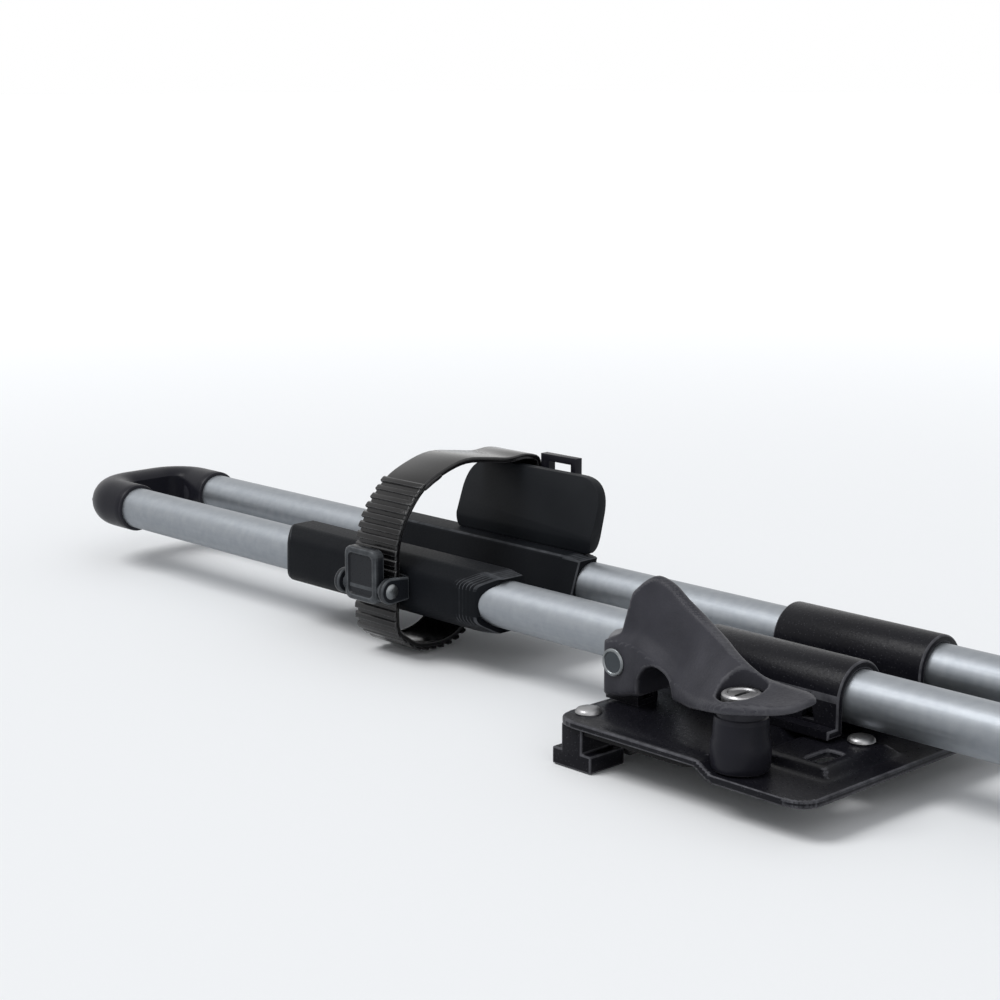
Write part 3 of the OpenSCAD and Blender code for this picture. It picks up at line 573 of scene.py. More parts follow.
def bake(thing: Thing) -> Thing:
    """Turns an object's modifiers into a plain mesh.

    Args:
        thing: Object to change.

    Returns:
        The same object.
    """
    graph = bpy.context.evaluated_depsgraph_get()
    shown = thing.evaluated_get(graph)
    mesh = bpy.data.meshes.new_from_object(shown, preserve_all_data_layers=True, depsgraph=graph)
    thing.modifiers.clear()
    old = thing.data
    thing.data = mesh
    bpy.data.meshes.remove(old)
    return thing


def carve(thing: Thing, *tools: Thing, keep: str = "DIFFERENCE") -> Thing:
    """Cuts tool solids out of a piece, or joins or keeps what they share with it.

    Args:
        thing: Piece to change.
        tools: Solids to use, which are removed afterwards.
        keep: Boolean operation.

    Returns:
        The changed piece.
    """
    for tool in tools:
        step = thing.modifiers.new("carve", "BOOLEAN")
        step.object = tool
        step.operation = keep
        step.solver = "EXACT"
    bake(thing)
    for tool in tools:
        drop(tool)
    return thing


def drop(thing: Thing) -> None:
    """Removes a helper object and its mesh.

    Args:
        thing: The object.
    """
    mesh = thing.data
    bpy.data.objects.remove(thing)
    bpy.data.meshes.remove(mesh)


def join(name: str, parts: Sequence[Thing]) -> Thing:
    """Gathers separate solids into one object.

    Args:
        name: Name of the new object.
        parts: Objects to gather, which are removed.

    Returns:
        The new object.
    """
    solid = bmesh.new()
    for part in parts:
        solid.from_mesh(part.data)
        drop(part)
    return to_object(name, solid)


def mark_edges(thing: Thing, loose: float = 3.0, tight: float = 1.0) -> None:
    """Writes how tightly each narrow face rounds an outer edge over, which the edge lightening reads: rubbing
    and painted highlight.

    Args:
        thing: Piece to mark.
        loose: Radius in millimetres from which a face counts as part of no edge.
        tight: Radius at which the mark is full.
    """
    solid = bmesh.new()
    solid.from_mesh(thing.data)
    layer = solid.faces.layers.float.new(EDGE_ATTRIBUTE)
    for face in solid.faces:
        width = face.calc_area() / max(edge.calc_length() for edge in face.edges) / MM
        turn = sum(max(edge.calc_face_angle_signed(0.0), 0.0) for edge in face.edges) / 2
        if turn > 0.05 and width < loose:
            face[layer] = min(max((loose - width / turn) / (loose - tight), 0.0), 1.0)
    solid.to_mesh(thing.data)
    solid.free()


def polish(thing: Thing, soft: float = 0.0, angle: float = 35.0, segments: int = 2) -> Thing:
    """Rounds the sharp edges of a piece and shades it smooth.

    Args:
        thing: Piece to finish.
        soft: Width of the rounding in millimetres, or 0 for none.
        angle: Angle in degrees above which an edge is sharp.
        segments: Faces across each rounded edge.

    Returns:
        The finished piece.
    """
    if soft:
        bevel = thing.modifiers.new("soft_edges", "BEVEL")
        bevel.width = soft * MM
        bevel.segments = segments
        bevel.limit_method = "ANGLE"
        bevel.angle_limit = math.radians(angle)
        bevel.harden_normals = False
        bake(thing)
    mark_edges(thing)
    thing.data.shade_smooth()
    thing.data.set_sharp_from_angle(angle=math.radians(angle))
    return thing


def mould(thing: Thing, cell: float, passes: int) -> Thing:
    """Gives a piece the soft, even edges of a moulding or pressing.

    Args:
        thing: Closed piece.
        cell: Size of the new mesh's cells in millimetres.
        passes: Smoothing passes, which set how round the edges come out.

    Returns:
        The finished piece.
    """
    cells = thing.modifiers.new("cells", "REMESH")
    cells.mode = "VOXEL"
    cells.voxel_size = cell * MM
    ease = thing.modifiers.new("ease", "SMOOTH")
    ease.factor = 0.5
    ease.iterations = passes
    bake(thing)
    mark_edges(thing, 4.0)
    thing.data.shade_smooth()
    return thing


def from_node(node: str, soft: float, angle: float = 28.0) -> Thing:
    """Makes a piece from a merged copy of a CAD node, with its edges rounded.

    Args:
        node: Name of the CAD node.
        soft: Width of the rounding in millimetres.
        angle: Angle in degrees above which an edge is rounded.

    Returns:
        The piece, in the node's place.
    """
    solid = bmesh.new()
    solid.from_mesh(frame["nodes"][node].data)
    bmesh.ops.remove_doubles(solid, verts=solid.verts, dist=2e-6)
    bmesh.ops.dissolve_limit(solid, angle_limit=math.radians(0.6), verts=solid.verts, edges=solid.edges)
    for layer in list(solid.loops.layers.uv):
        solid.loops.layers.uv.remove(layer)
    thing = to_object(f"{node}_skin", solid)
    return polish(thing, soft, angle)


def dress(thing: Thing, look: Look, body: str, *nodes: str) -> None:
    """Gives a piece its finish and fastens it to the frame.

    Args:
        thing: The piece.
        look: Its finish.
        body: CAD body that it rides on.
        nodes: CAD nodes that it stands for.
    """
    thing.data.materials.clear()
    thing.data.materials.append(look.value.material())
    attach(thing, body)
    if nodes:
        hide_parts(*nodes)
    LOG.info("%s rides on %s with %d faces", thing.name, body, len(thing.data.polygons))


def skin(node: str, soft: float, look: Look, body: str) -> None:
    """Dresses a softened copy of a CAD node in that node's place."""
    dress(from_node(node, soft), look, body, node)


# Repeated patterns


def repeat_tree(path: bool) -> Tree:
    """Geometry tree that sets a pattern on points, or at even steps along a path in the YZ plane.

    Args:
        path: Whether the mesh is a path.

    Returns:
        The tree.
    """
    name = "ribs_along_path" if path else "fasteners_on_points"
    inputs = {"Geometry": "Geometry", "Pattern": "Object", "Pitch": "Float", "Material": "Material"}
    tree = new_group("GeometryNodeTree", name, inputs, {"Geometry": "Geometry"})
    source = tree.nodes["Group Input"].outputs
    pattern = add_node(tree, "GeometryNodeObjectInfo", {"Object": source["Pattern"], "As Instance": True})
    inputs = {"Instance": pattern.outputs["Geometry"]}
    if path:
        curve = add_node(tree, "GeometryNodeMeshToCurve", {"Mesh": source["Geometry"]})
        spots = add_node(tree, "GeometryNodeCurveToPoints", mode="LENGTH")
        feed(tree, spots, {"Curve": curve.outputs["Curve"], "Length": source["Pitch"]})
        facing = add_node(tree, "FunctionNodeAlignRotationToVector", axis="Y", pivot_axis="X")
        feed(tree, facing, {"Vector": spots.outputs["Tangent"]})
        inputs["Rotation"] = facing.outputs["Rotation"]
    else:
        spots = add_node(tree, "GeometryNodeMeshToPoints", {"Mesh": source["Geometry"]})
    place = add_node(tree, "GeometryNodeInstanceOnPoints", {"Points": spots.outputs["Points"], **inputs})
    real = add_node(tree, "GeometryNodeRealizeInstances", {"Geometry": place.outputs["Instances"]})
    paint = add_node(tree, "GeometryNodeSetMaterial", {"Geometry": real.outputs["Geometry"]})
    feed(tree, paint, {"Material": source["Material"]})
    feed(tree, tree.nodes["Group Output"], {"Geometry": paint.outputs["Geometry"]})
    return tree


REPEATS = {path: repeat_tree(path) for path in (True, False)}


def set_out(name: str, spots: Sequence[Vector], pattern: Thing, look: Look, pitch: float = 0.0) -> Thing:
    """Repeats a pattern object on single points or along a path.

    Args:
        name: Name of the new piece.
        spots: Points in metres, in order where they are a path.
        pattern: Object that is repeated, which is removed afterwards.
        look: Finish of the new piece.
        pitch: Step along the path in metres, or 0 for single points.

    Returns:
        The piece as a plain mesh.
    """
    path = pitch > 0.0
    mesh = bpy.data.meshes.new(name)
    mesh.from_pydata(spots, [(i, i + 1) for i in range(len(spots) - 1)] if path else [], [])
    thing = bpy.data.objects.new(name, mesh)
    bpy.context.scene.collection.objects.link(thing)
    step = thing.modifiers.new("set_out", "NODES")
    step.node_group = REPEATS[path]
    values = {"Pattern": pattern, "Pitch": pitch, "Material": look.value.material()}
    for socket in step.node_group.interface.items_tree:
        if socket.name in values:
            step[socket.identifier] = values[socket.name]
    bake(thing)
    drop(pattern)
    return thing


# Places in the frame


def box_mm(node: str) -> tuple[Vector, Vector]:
    """Corners of a CAD node's box, in millimetres."""
    low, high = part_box(node)
    return low / MM, high / MM


def node_middle(node: str) -> Vector:
    """Middle of a CAD node's box, in millimetres."""
    low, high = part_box(node)
    return (low + high) / 2 / MM


AXIS_Z = node_middle("near_tube").z
RAIL_Y = node_middle("far_tube").y
TUBE_R = (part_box("near_tube")[1].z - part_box("near_tube")[0].z) / 2 / MM
JOINT_AT = {joint["name"]: Vector(joint["pos_m"]) / MM for joint in frame["joints"]}


@dataclass
class EndPiece:
    """Sub-assembly that the carrier has at both ends.

    Attributes:
        end: Which end.
    """

    end: End

    def node(self, name: str) -> str:
        """Full node, body or joint name at this end."""
        return f"{self.end.value}_{name}"

    def joint(self, name: str) -> Vector:
        """Place of a joint at this end, in millimetres."""
        return JOINT_AT[self.node(name)]


# Rails


@dataclass
class RailTube:
    """One drawn aluminium tube.

    Attributes:
        wall: Wall thickness.
        ease: Chamfer at the cut ends.
        steps: Points round the tube.
    """

    wall: float = 1.6
    ease: float = 0.4
    steps: int = 80

    def build(self, node: str) -> None:
        """Makes the tube in the place of its node.

        Args:
            node: Name of the CAD node.
        """
        low, high = box_mm(node)
        middle = (low + high) / 2
        inner = TUBE_R - self.wall
        stations = [
            (low.x, inner), (low.x, TUBE_R - self.ease), (low.x + self.ease, TUBE_R),
            (high.x - self.ease, TUBE_R), (high.x, TUBE_R - self.ease), (high.x, inner),
        ]
        rings = [[at(x, middle.y + y, middle.z + z) for y, z in circle(r, self.steps)] for x, r in stations]
        tube = polish(loft(f"{node}_drawn", rings, looped=True))
        dress(tube, Look.TUBE, "rails", node)


@dataclass
class EndLoop(EndPiece):
    """Moulded bend that joins the ends of both tubes.

    Attributes:
        wall: Wall round the tube.
        socket: Depth of the sockets.
        bend: Bend radius at the middle line.
        flat: Share of the radius at which the inner wall is cut flat, along the bar.
        lip: Rounding of the mouths.
        steps: Points round the section.
        bend_steps: Stations on each bend.
        clearance: Gap round the tube.
        gate_turn: Place of the gate mark on the near bend, in degrees.
    """

    wall: float = 1.7
    socket: float = 16.0
    bend: float = 16.0
    flat: float = 0.7
    lip: float = 0.7
    steps: int = 56
    bend_steps: int = 12
    clearance: float = 0.1
    gate_turn: float = 42.0

    def section(self, radius: float, flat: float) -> list[Point]:
        """Outline across the moulding: round outside, cut flat towards the opening."""
        return [(max(out, -flat * radius), up) for out, up in circle(radius, self.steps)]

    def stations(self) -> list[tuple[Point, Point, float, float]]:
        """Stations from the near mouth round to the far mouth.

        Returns:
            The centre, the outward direction, the radius and the flat of each station.
        """
        leg = TUBE_R + self.wall
        hole = TUBE_R + self.clearance
        mouth = [
            (0.0, hole, 1.0), (self.socket, hole, 1.0), (self.socket, leg - self.lip, 1.0),
            (self.socket - 0.3 * self.lip, leg - 0.3 * self.lip, 1.0), (self.socket - self.lip, leg, 1.0),
            (0.7 * self.socket, leg, 0.98), (0.4 * self.socket, leg, 0.9), (0.15 * self.socket, leg, 0.82),
        ]
        near = [((x, -RAIL_Y), (0.0, -1.0), r, flat) for x, r, flat in mouth]
        bend = []
        for i in range(self.bend_steps + 1):
            a = math.pi / 2 * i / self.bend_steps
            out = (-math.sin(a), -math.cos(a))
            centre = (self.bend * out[0], -(RAIL_Y - self.bend) + self.bend * out[1])
            ease = min(1.0, 2.0 * i / self.bend_steps)
            bend.append((centre, out, leg, 0.8 + (self.flat - 0.8) * ease))
        near_half = near + bend
        far_half = [((x, -y), (u, -v), r, flat) for (x, y), (u, v), r, flat in reversed(near_half)]
        return near_half + far_half

    def build(self) -> None:
        """Makes the loop at one end of the rails."""
        low, high = box_mm("near_tube")
        facing = 1.0 if self.end is End.REAR else -1.0
        start = low.x if self.end is End.REAR else high.x
        rings = []
        for (x, y), (u, v), radius, flat in self.stations():
            ring = [
                at(start + facing * (x + u * out), y + v * out, AXIS_Z + up)
                for out, up in self.section(radius, flat)
            ]
            rings.append(ring)
        node = self.node("end_loop")
        shell = loft(f"{node}_moulding", rings)
        gate = self.gate_mark(start, facing)
        dress(polish(join(f"{node}_moulding", [shell, gate]), angle=32.0), Look.LOOP, "rails", node)

    def gate_mark(self, start: float, facing: float) -> Thing:
        """Small round mark that the moulding leaves on the outside of the near bend.

        Args:
            start: Place of the tube ends along the rails.
            facing: Direction of the sockets along X.

        Returns:
            The mark, seated in the bend's skin.
        """
        dot = turned("gate_mark", [(0.2, -0.5), (1.0, -0.5), (1.0, 0.1), (0.75, 0.35), (0.2, 0.4)], 20)
        a = math.radians(self.gate_turn)
        reach = self.bend + TUBE_R + self.wall
        spot = Vector((-math.sin(a) * reach, -(RAIL_Y - self.bend) - math.cos(a) * reach, 0.0))
        out = Vector((-facing * math.sin(a), -math.cos(a), 0.0))
        turn = out.to_track_quat("Z", "Y").to_matrix().to_4x4()
        dot.data.transform(Matrix.Translation(at(start + facing * spot.x, spot.y, AXIS_Z)) @ turn)
        return dot


# Wheel holders


@dataclass
class WheelHolder(EndPiece):
    """Moulded saddle over both tubes with a trough for the tyre, and what is fastened to it.

    Attributes:
        back: Length behind the hub.
        front: Length in front of the hub.
        side: Wall outside the tubes.
        cover: Wall above and below the tubes.
        crease: Height of the side crease above the tube axis.
        chamfer: Width of the slanted shoulder.
        trough: Width of the trough at its top and floor.
        trough_depth: Depth of the trough's floor below the tube axis.
        end_slant: How far the end faces slant back at the sides.
        shoulder: How far the rear end's upper corners lean forward.
        taper: Depth to which the front end tapers.
        taper_run: Length of that taper.
        grooves: Fine grooves across the taper.
        groove: Depth of the grooves.
        slant_run: Width at each side over which the ends slant.
        rear_slant: How far the rear end reaches back at the sides.
        clearance: Gap round the tubes.
        lean_from: Height above the tube axis from which the rear corners lean.
    """

    back: float = 97.0
    front: float = 42.0
    side: float = 2.2
    cover: float = 3.0
    crease: float = 8.5
    chamfer: float = 7.0
    trough: Point = (32.0, 20.0)
    trough_depth: float = 4.0
    end_slant: float = 11.0
    shoulder: float = 4.0
    taper: float = 1.5
    taper_run: float = 11.0
    grooves: int = 7
    groove: float = 0.2
    slant_run: float = 9.0
    rear_slant: float = 7.0
    clearance: float = 0.15
    lean_from: float = 2.0

    def section(self) -> list[Point]:
        """Rounded outline across the rails.

        Returns:
            Points as (y, z) about the tube axes.
        """
        half = RAIL_Y + TUBE_R + self.side
        top = TUBE_R + self.cover
        right = [
            (self.trough[1] / 2, -self.trough_depth), (self.trough[0] / 2, top), (half - self.chamfer, top),
            (half, self.crease), (half, -self.crease), (half - self.chamfer, -top),
        ]
        left = [(-y, z) for y, z in reversed(right)]
        radii = [3.0, 2.2, 6.0, 5.0, 6.0, 4.0]
        return round_corners(right + left, radii + radii[::-1], 5)

    def stations(self) -> list[Point]:
        """Stations along the holder, with fine grooves on the front taper.

        Returns:
            Pairs of a place from the hub and the inset there.
        """
        runs = rounded_ends(-self.back, self.front, 1.6, 5)
        stations = [run for run in runs if run[0] < 0]
        count = 2 * self.grooves
        for i in range(count + 1):
            share = i / count
            ridge = self.groove * min(1.0, 3 * share) if i % 2 and i < count else 0.0
            depth = 0.15 + self.taper * share**1.4 - ridge
            stations.append((self.front - self.taper_run * (1 - share), max(depth, 0.0)))
        return stations

    def build(self) -> None:
        """Makes the holder at one end."""
        hub = self.joint("holder_slide").x
        half = RAIL_Y + TUBE_R + self.side
        rings = []
        top = TUBE_R + self.cover
        for x, depth in self.stations():
            ring = []
            for y, z in inset(self.section(), depth):
                share = max(0.0, (abs(y) - (half - self.slant_run)) / self.slant_run)
                rise = max(0.0, (z - self.lean_from) / (top - self.lean_from))
                rear = -self.rear_slant * share**2 - self.shoulder * share * rise**2
                slant = self.end_slant * share if x > 0 else rear
                ring.append(at(hub + x - slant, y, AXIS_Z + z))
            rings.append(ring)
        node = self.node("wheel_holder")
        shell = loft(f"{node}_moulding", rings)
        start, stop = hub - self.back - self.slant_run, hub + self.front + self.slant_run
        bores = [circle(TUBE_R + self.clearance, 64, (s * RAIL_Y, AXIS_Z)) for s in (-1, 1)]
        carve(shell, *(along_x("bore", bore, start, stop, 0.1) for bore in bores))
        dress(polish(shell, angle=40.0), Look.HOLDER, self.node("holder_body"), node)


@dataclass
class WheelStrap(EndPiece):
    """Strap over the rim: smooth on top, ribbed on the near side and on its loose tail.

    Attributes:
        width: Width of the strap.
        thick: Thickness of the band under the ribs.
        back: Distance of its middle behind the hub.
        pitch: Step from rib to rib.
        rib: Length of a rib along the strap and its height.
        path: Middle line from the far keeper over the rim to the loose tail, as (y, z) about the tube axes.
        ladder_from: Index on the path where the ribs start.
    """

    width: float = 25.0
    thick: float = 2.0
    back: float = 22.5
    pitch: float = 4.3
    rib: Point = (3.4, 1.3)
    path: tuple[Point, ...] = (
        (45, 40), (44, 45.6), (36, 47.8), (26, 47.4), (14, 49), (0, 50.3), (-13, 47.3), (-25, 41.6),
        (-34.4, 31), (-39.3, 20), (-40.4, 8), (-40.4, -4), (-40.8, -12), (-39.8, -19), (-35, -23.4),
        (-28, -27.3), (-16, -28.4), (-7, -26.5), (0, -22),
    )
    ladder_from: int = 7

    @property
    def middle(self) -> float:
        """Place of the strap's middle along the rails."""
        return self.joint("holder_slide").x - self.back

    def band(self) -> Thing:
        """Plain band with a raised rim along both edges.

        Returns:
            The band.
        """
        w, t = self.width / 2, self.thick / 2
        across = round_corners(
            [
                (-w, -t), (w, -t), (w, t + 0.5), (w - 1.6, t + 0.5), (w - 2.2, t), (2.2 - w, t),
                (1.6 - w, t + 0.5), (-w, t + 0.5),
            ],
            [0.7, 0.7, 0.5, 0.4, 0.3, 0.3, 0.4, 0.5], 4,
        )
        line = [Vector(p) for p in blend_points(self.path, 4)]
        rings = []
        for i, spot in enumerate(line):
            run = (line[min(i + 1, len(line) - 1)] - line[max(i - 1, 0)]).normalized()
            out = Vector((run.y, -run.x))
            ease = 0.35 if i in (0, len(line) - 1) else 1.0
            ring = []
            for x, rise in across:
                place = spot - out * (rise * ease)
                ring.append(at(self.middle + x, place.x, AXIS_Z + place.y))
            rings.append(ring)
        return loft(self.node("strap_band"), rings)

    def build(self) -> None:
        """Makes the strap and its ribs at one end."""
        node = self.node("strap")
        body = self.node("holder_body")
        dress(polish(self.band(), angle=40.0), Look.STRAP, body, node)
        line = blend_points(self.path[self.ladder_from:], 6)
        ladder = [at(self.middle, y, AXIS_Z + z) for y, z in reversed(line)]
        length, rise = self.rib
        low = self.thick / 2 - 0.3
        profile = round_corners(
            [
                (-length / 2, low), (length / 2, low), (length / 2 - 0.9, low + 0.75 * rise),
                (0.3 - length / 2, low + rise),
            ],
            [0.1, 0.1, 0.5, 0.35], 3,
        )
        rib = along_x("rib", profile, -self.width / 2 - 0.8, self.width / 2 + 0.8, 0.4)
        ribs = set_out(f"{node}_ribs", ladder, rib, Look.STRAP, self.pitch * MM)
        dress(polish(ribs, angle=38.0), Look.STRAP, body)
        self.stop_block()

    def stop_block(self) -> None:
        """Wider block that ends the ladder under the smooth top."""
        line = [Vector(p) for p in blend_points(self.path, 6)]
        start = self.ladder_from * 6 - 5
        outer = []
        inner = []
        for i in range(start, start + 6):
            run = (line[i + 1] - line[i - 1]).normalized()
            out = Vector((-run.y, run.x))
            lift = self.thick / 2 + (0.55 if i in (start, start + 5) else 0.9)
            outer.append(tuple(line[i] + out * lift))
            inner.append(tuple(line[i]))
        outline = [(y, AXIS_Z + z) for y, z in outer + inner[::-1]]
        half = self.width / 2 + 0.4
        block = along_x(self.node("strap_stop_block"), outline, self.middle - half, self.middle + half, 0.4)
        dress(polish(block, angle=38.0), Look.STRAP, self.node("holder_body"))


@dataclass
class RimRest(EndPiece):
    """Wing on the far side that the rim leans on, and the loop that holds the strap's end.

    Attributes:
        corner: Rounding of the wing's upper corners.
        foot_corner: Rounding of its lower corners.
    """

    corner: float = 22.0
    foot_corner: float = 6.0

    def build(self) -> None:
        """Makes the wing and the keeper at one end."""
        node = self.node("rim_rest")
        body = self.node("holder_body")
        low, high = box_mm(node)
        wing = from_node(node, 0.0)
        corners = [(low.x, low.z - 1), (high.x, low.z - 1), (high.x, high.z), (low.x, high.z)]
        radii = [self.foot_corner, self.foot_corner, self.corner, self.corner]
        trim = along_y("trim", round_corners(corners, radii, 14), low.y - 5, high.y + 5, 0.1)
        carve(wing, trim, keep="INTERSECT")
        dress(polish(wing, 0.9, 32.0, 3), Look.REST, body, node)
        skin(self.node("strap_keeper"), 0.9, Look.LOOP, body)


@dataclass
class Buckle(EndPiece):
    """Ratchet buckle on the holder's near side.

    Attributes:
        face: Width of the thumb lever and its height.
        rise: Height of the thumb lever above its pin.
        thick: Thickness of the thumb lever.
        rim: Width of the raised rim round its face.
        recess: Depth of its face.
        ear: Radius of the side ears.
        ear_t: Thickness of the side ears.
        ear_at: Distance of the ears from the strap's middle.
        boss: Radius of the raised disc over the pin.
        boss_half: Half the length of that disc along the pin.
        tooth_half: Half the width of the tooth.
        plate_gap: Distance of the base plate behind the pin.
    """

    face: Point = (21.0, 23.5)
    rise: float = 17.0
    thick: float = 5.3
    rim: float = 2.7
    recess: float = 0.9
    ear: float = 5.6
    ear_t: float = 3.0
    ear_at: float = 12.9
    boss: float = 3.6
    boss_half: float = 12.4
    tooth_half: float = 10.5
    plate_gap: float = 8.2

    def thumb_lever(self, pin: Vector) -> Thing:
        """Rounded block with a recessed face and the boss that turns on the pin.

        Args:
            pin: Middle of the pin, in millimetres.

        Returns:
            The block.
        """
        front = pin.y - self.thick + 0.9
        middle = (pin.x, pin.z + self.rise - self.face[1] / 2)
        outer = rounded_box(self.face, 4.2, 7, middle)
        panel = rounded_box((self.face[0] - 2 * self.rim, self.face[1] - 2 * self.rim), 2.6, 7, middle)
        stations = [
            (pin.y + 0.9, inset(outer, 1.0)), (pin.y + 0.4, inset(outer, 0.2)), (pin.y - 0.2, outer),
            (front + 1.6, outer), (front + 0.7, inset(outer, 0.3)), (front + 0.2, inset(outer, 0.8)),
            (front, inset(outer, 1.5)), (front, inset(panel, -0.5)), (front + 0.25, panel),
            (front + self.recess, inset(panel, 0.5)), (front + self.recess, inset(panel, 1.2)),
        ]
        block = loft("block", [[at(x, y, z) for x, z in outline] for y, outline in stations])
        disc = circle(self.boss, 32, (pin.y, pin.z))
        boss = along_x("boss", disc, pin.x - self.boss_half, pin.x + self.boss_half, 0.5)
        hook = [(pin.y - 4, pin.z - 4), (pin.y, pin.z - 5.6), (pin.y + 4.2, pin.z - 6), (pin.y + 2, pin.z)]
        hook = round_corners(hook, 0.8, 4)
        tooth = along_x("tooth", hook, pin.x - self.tooth_half, pin.x + self.tooth_half, 0.5)
        return join(self.node("thumb_lever_moulding"), [block, boss, tooth])

    def build(self) -> None:
        """Makes the buckle at one end."""
        pin = self.joint("thumb_press")
        body = self.node("holder_body")
        lever = polish(self.thumb_lever(pin), angle=40.0)
        dress(lever, Look.BUCKLE, self.node("thumb_body"), self.node("thumb_lever"))
        frame_node = self.node("buckle_frame")
        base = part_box(frame_node)[1].y / MM
        parts = []
        for s in (-1, 1):
            start = pin.x + s * self.ear_at
            outline = arc((pin.y, pin.z), self.ear, 90, 270, 20)
            outline += [(base, pin.z - self.ear + 0.8), (base, pin.z + self.ear - 0.8)]
            a, b = sorted((start, start + s * self.ear_t))
            parts.append(along_x("ear", outline, a, b, 0.8))
        low, high = box_mm(frame_node)
        back = pin.y + self.plate_gap
        plate = rounded_box((base - back, 2 * self.ear), 0.5, 4, ((base + back) / 2, pin.z))
        parts.append(along_x("plate", plate, low.x + 1, high.x - 1, 0.4))
        dress(polish(join(f"{frame_node}_moulding", parts), angle=38.0), Look.BUCKLE, body, frame_node)
        self.pin(pin, body)

    def pin(self, pin: Vector, body: str) -> None:
        """Makes the pin with its domed ends, and dresses the spring inside.

        Args:
            pin: Middle of the pin, in millimetres.
            body: Body that the buckle rides on.
        """
        reach = self.ear_at + self.ear_t
        profile = [
            (0.15, -reach - 1.3), (1.6, -reach - 1.15), (2.9, -reach - 0.6), (3.3, -reach),
            (1.7, -reach + 0.2), (1.7, reach - 0.2), (3.3, reach), (2.9, reach + 0.6), (1.6, reach + 1.15),
            (0.15, reach + 1.3),
        ]
        rod = turned(self.node("buckle_pin_turned"), profile, 32)
        rod.data.transform(Matrix.Translation(pin * MM) @ Matrix.Rotation(math.pi / 2, 4, "Y"))
        dress(polish(rod, angle=45.0), Look.DARK_STEEL, body, self.node("buckle_pin"))
        skin(self.node("buckle_spring"), 0.2, Look.ZINC, body)


# Feet


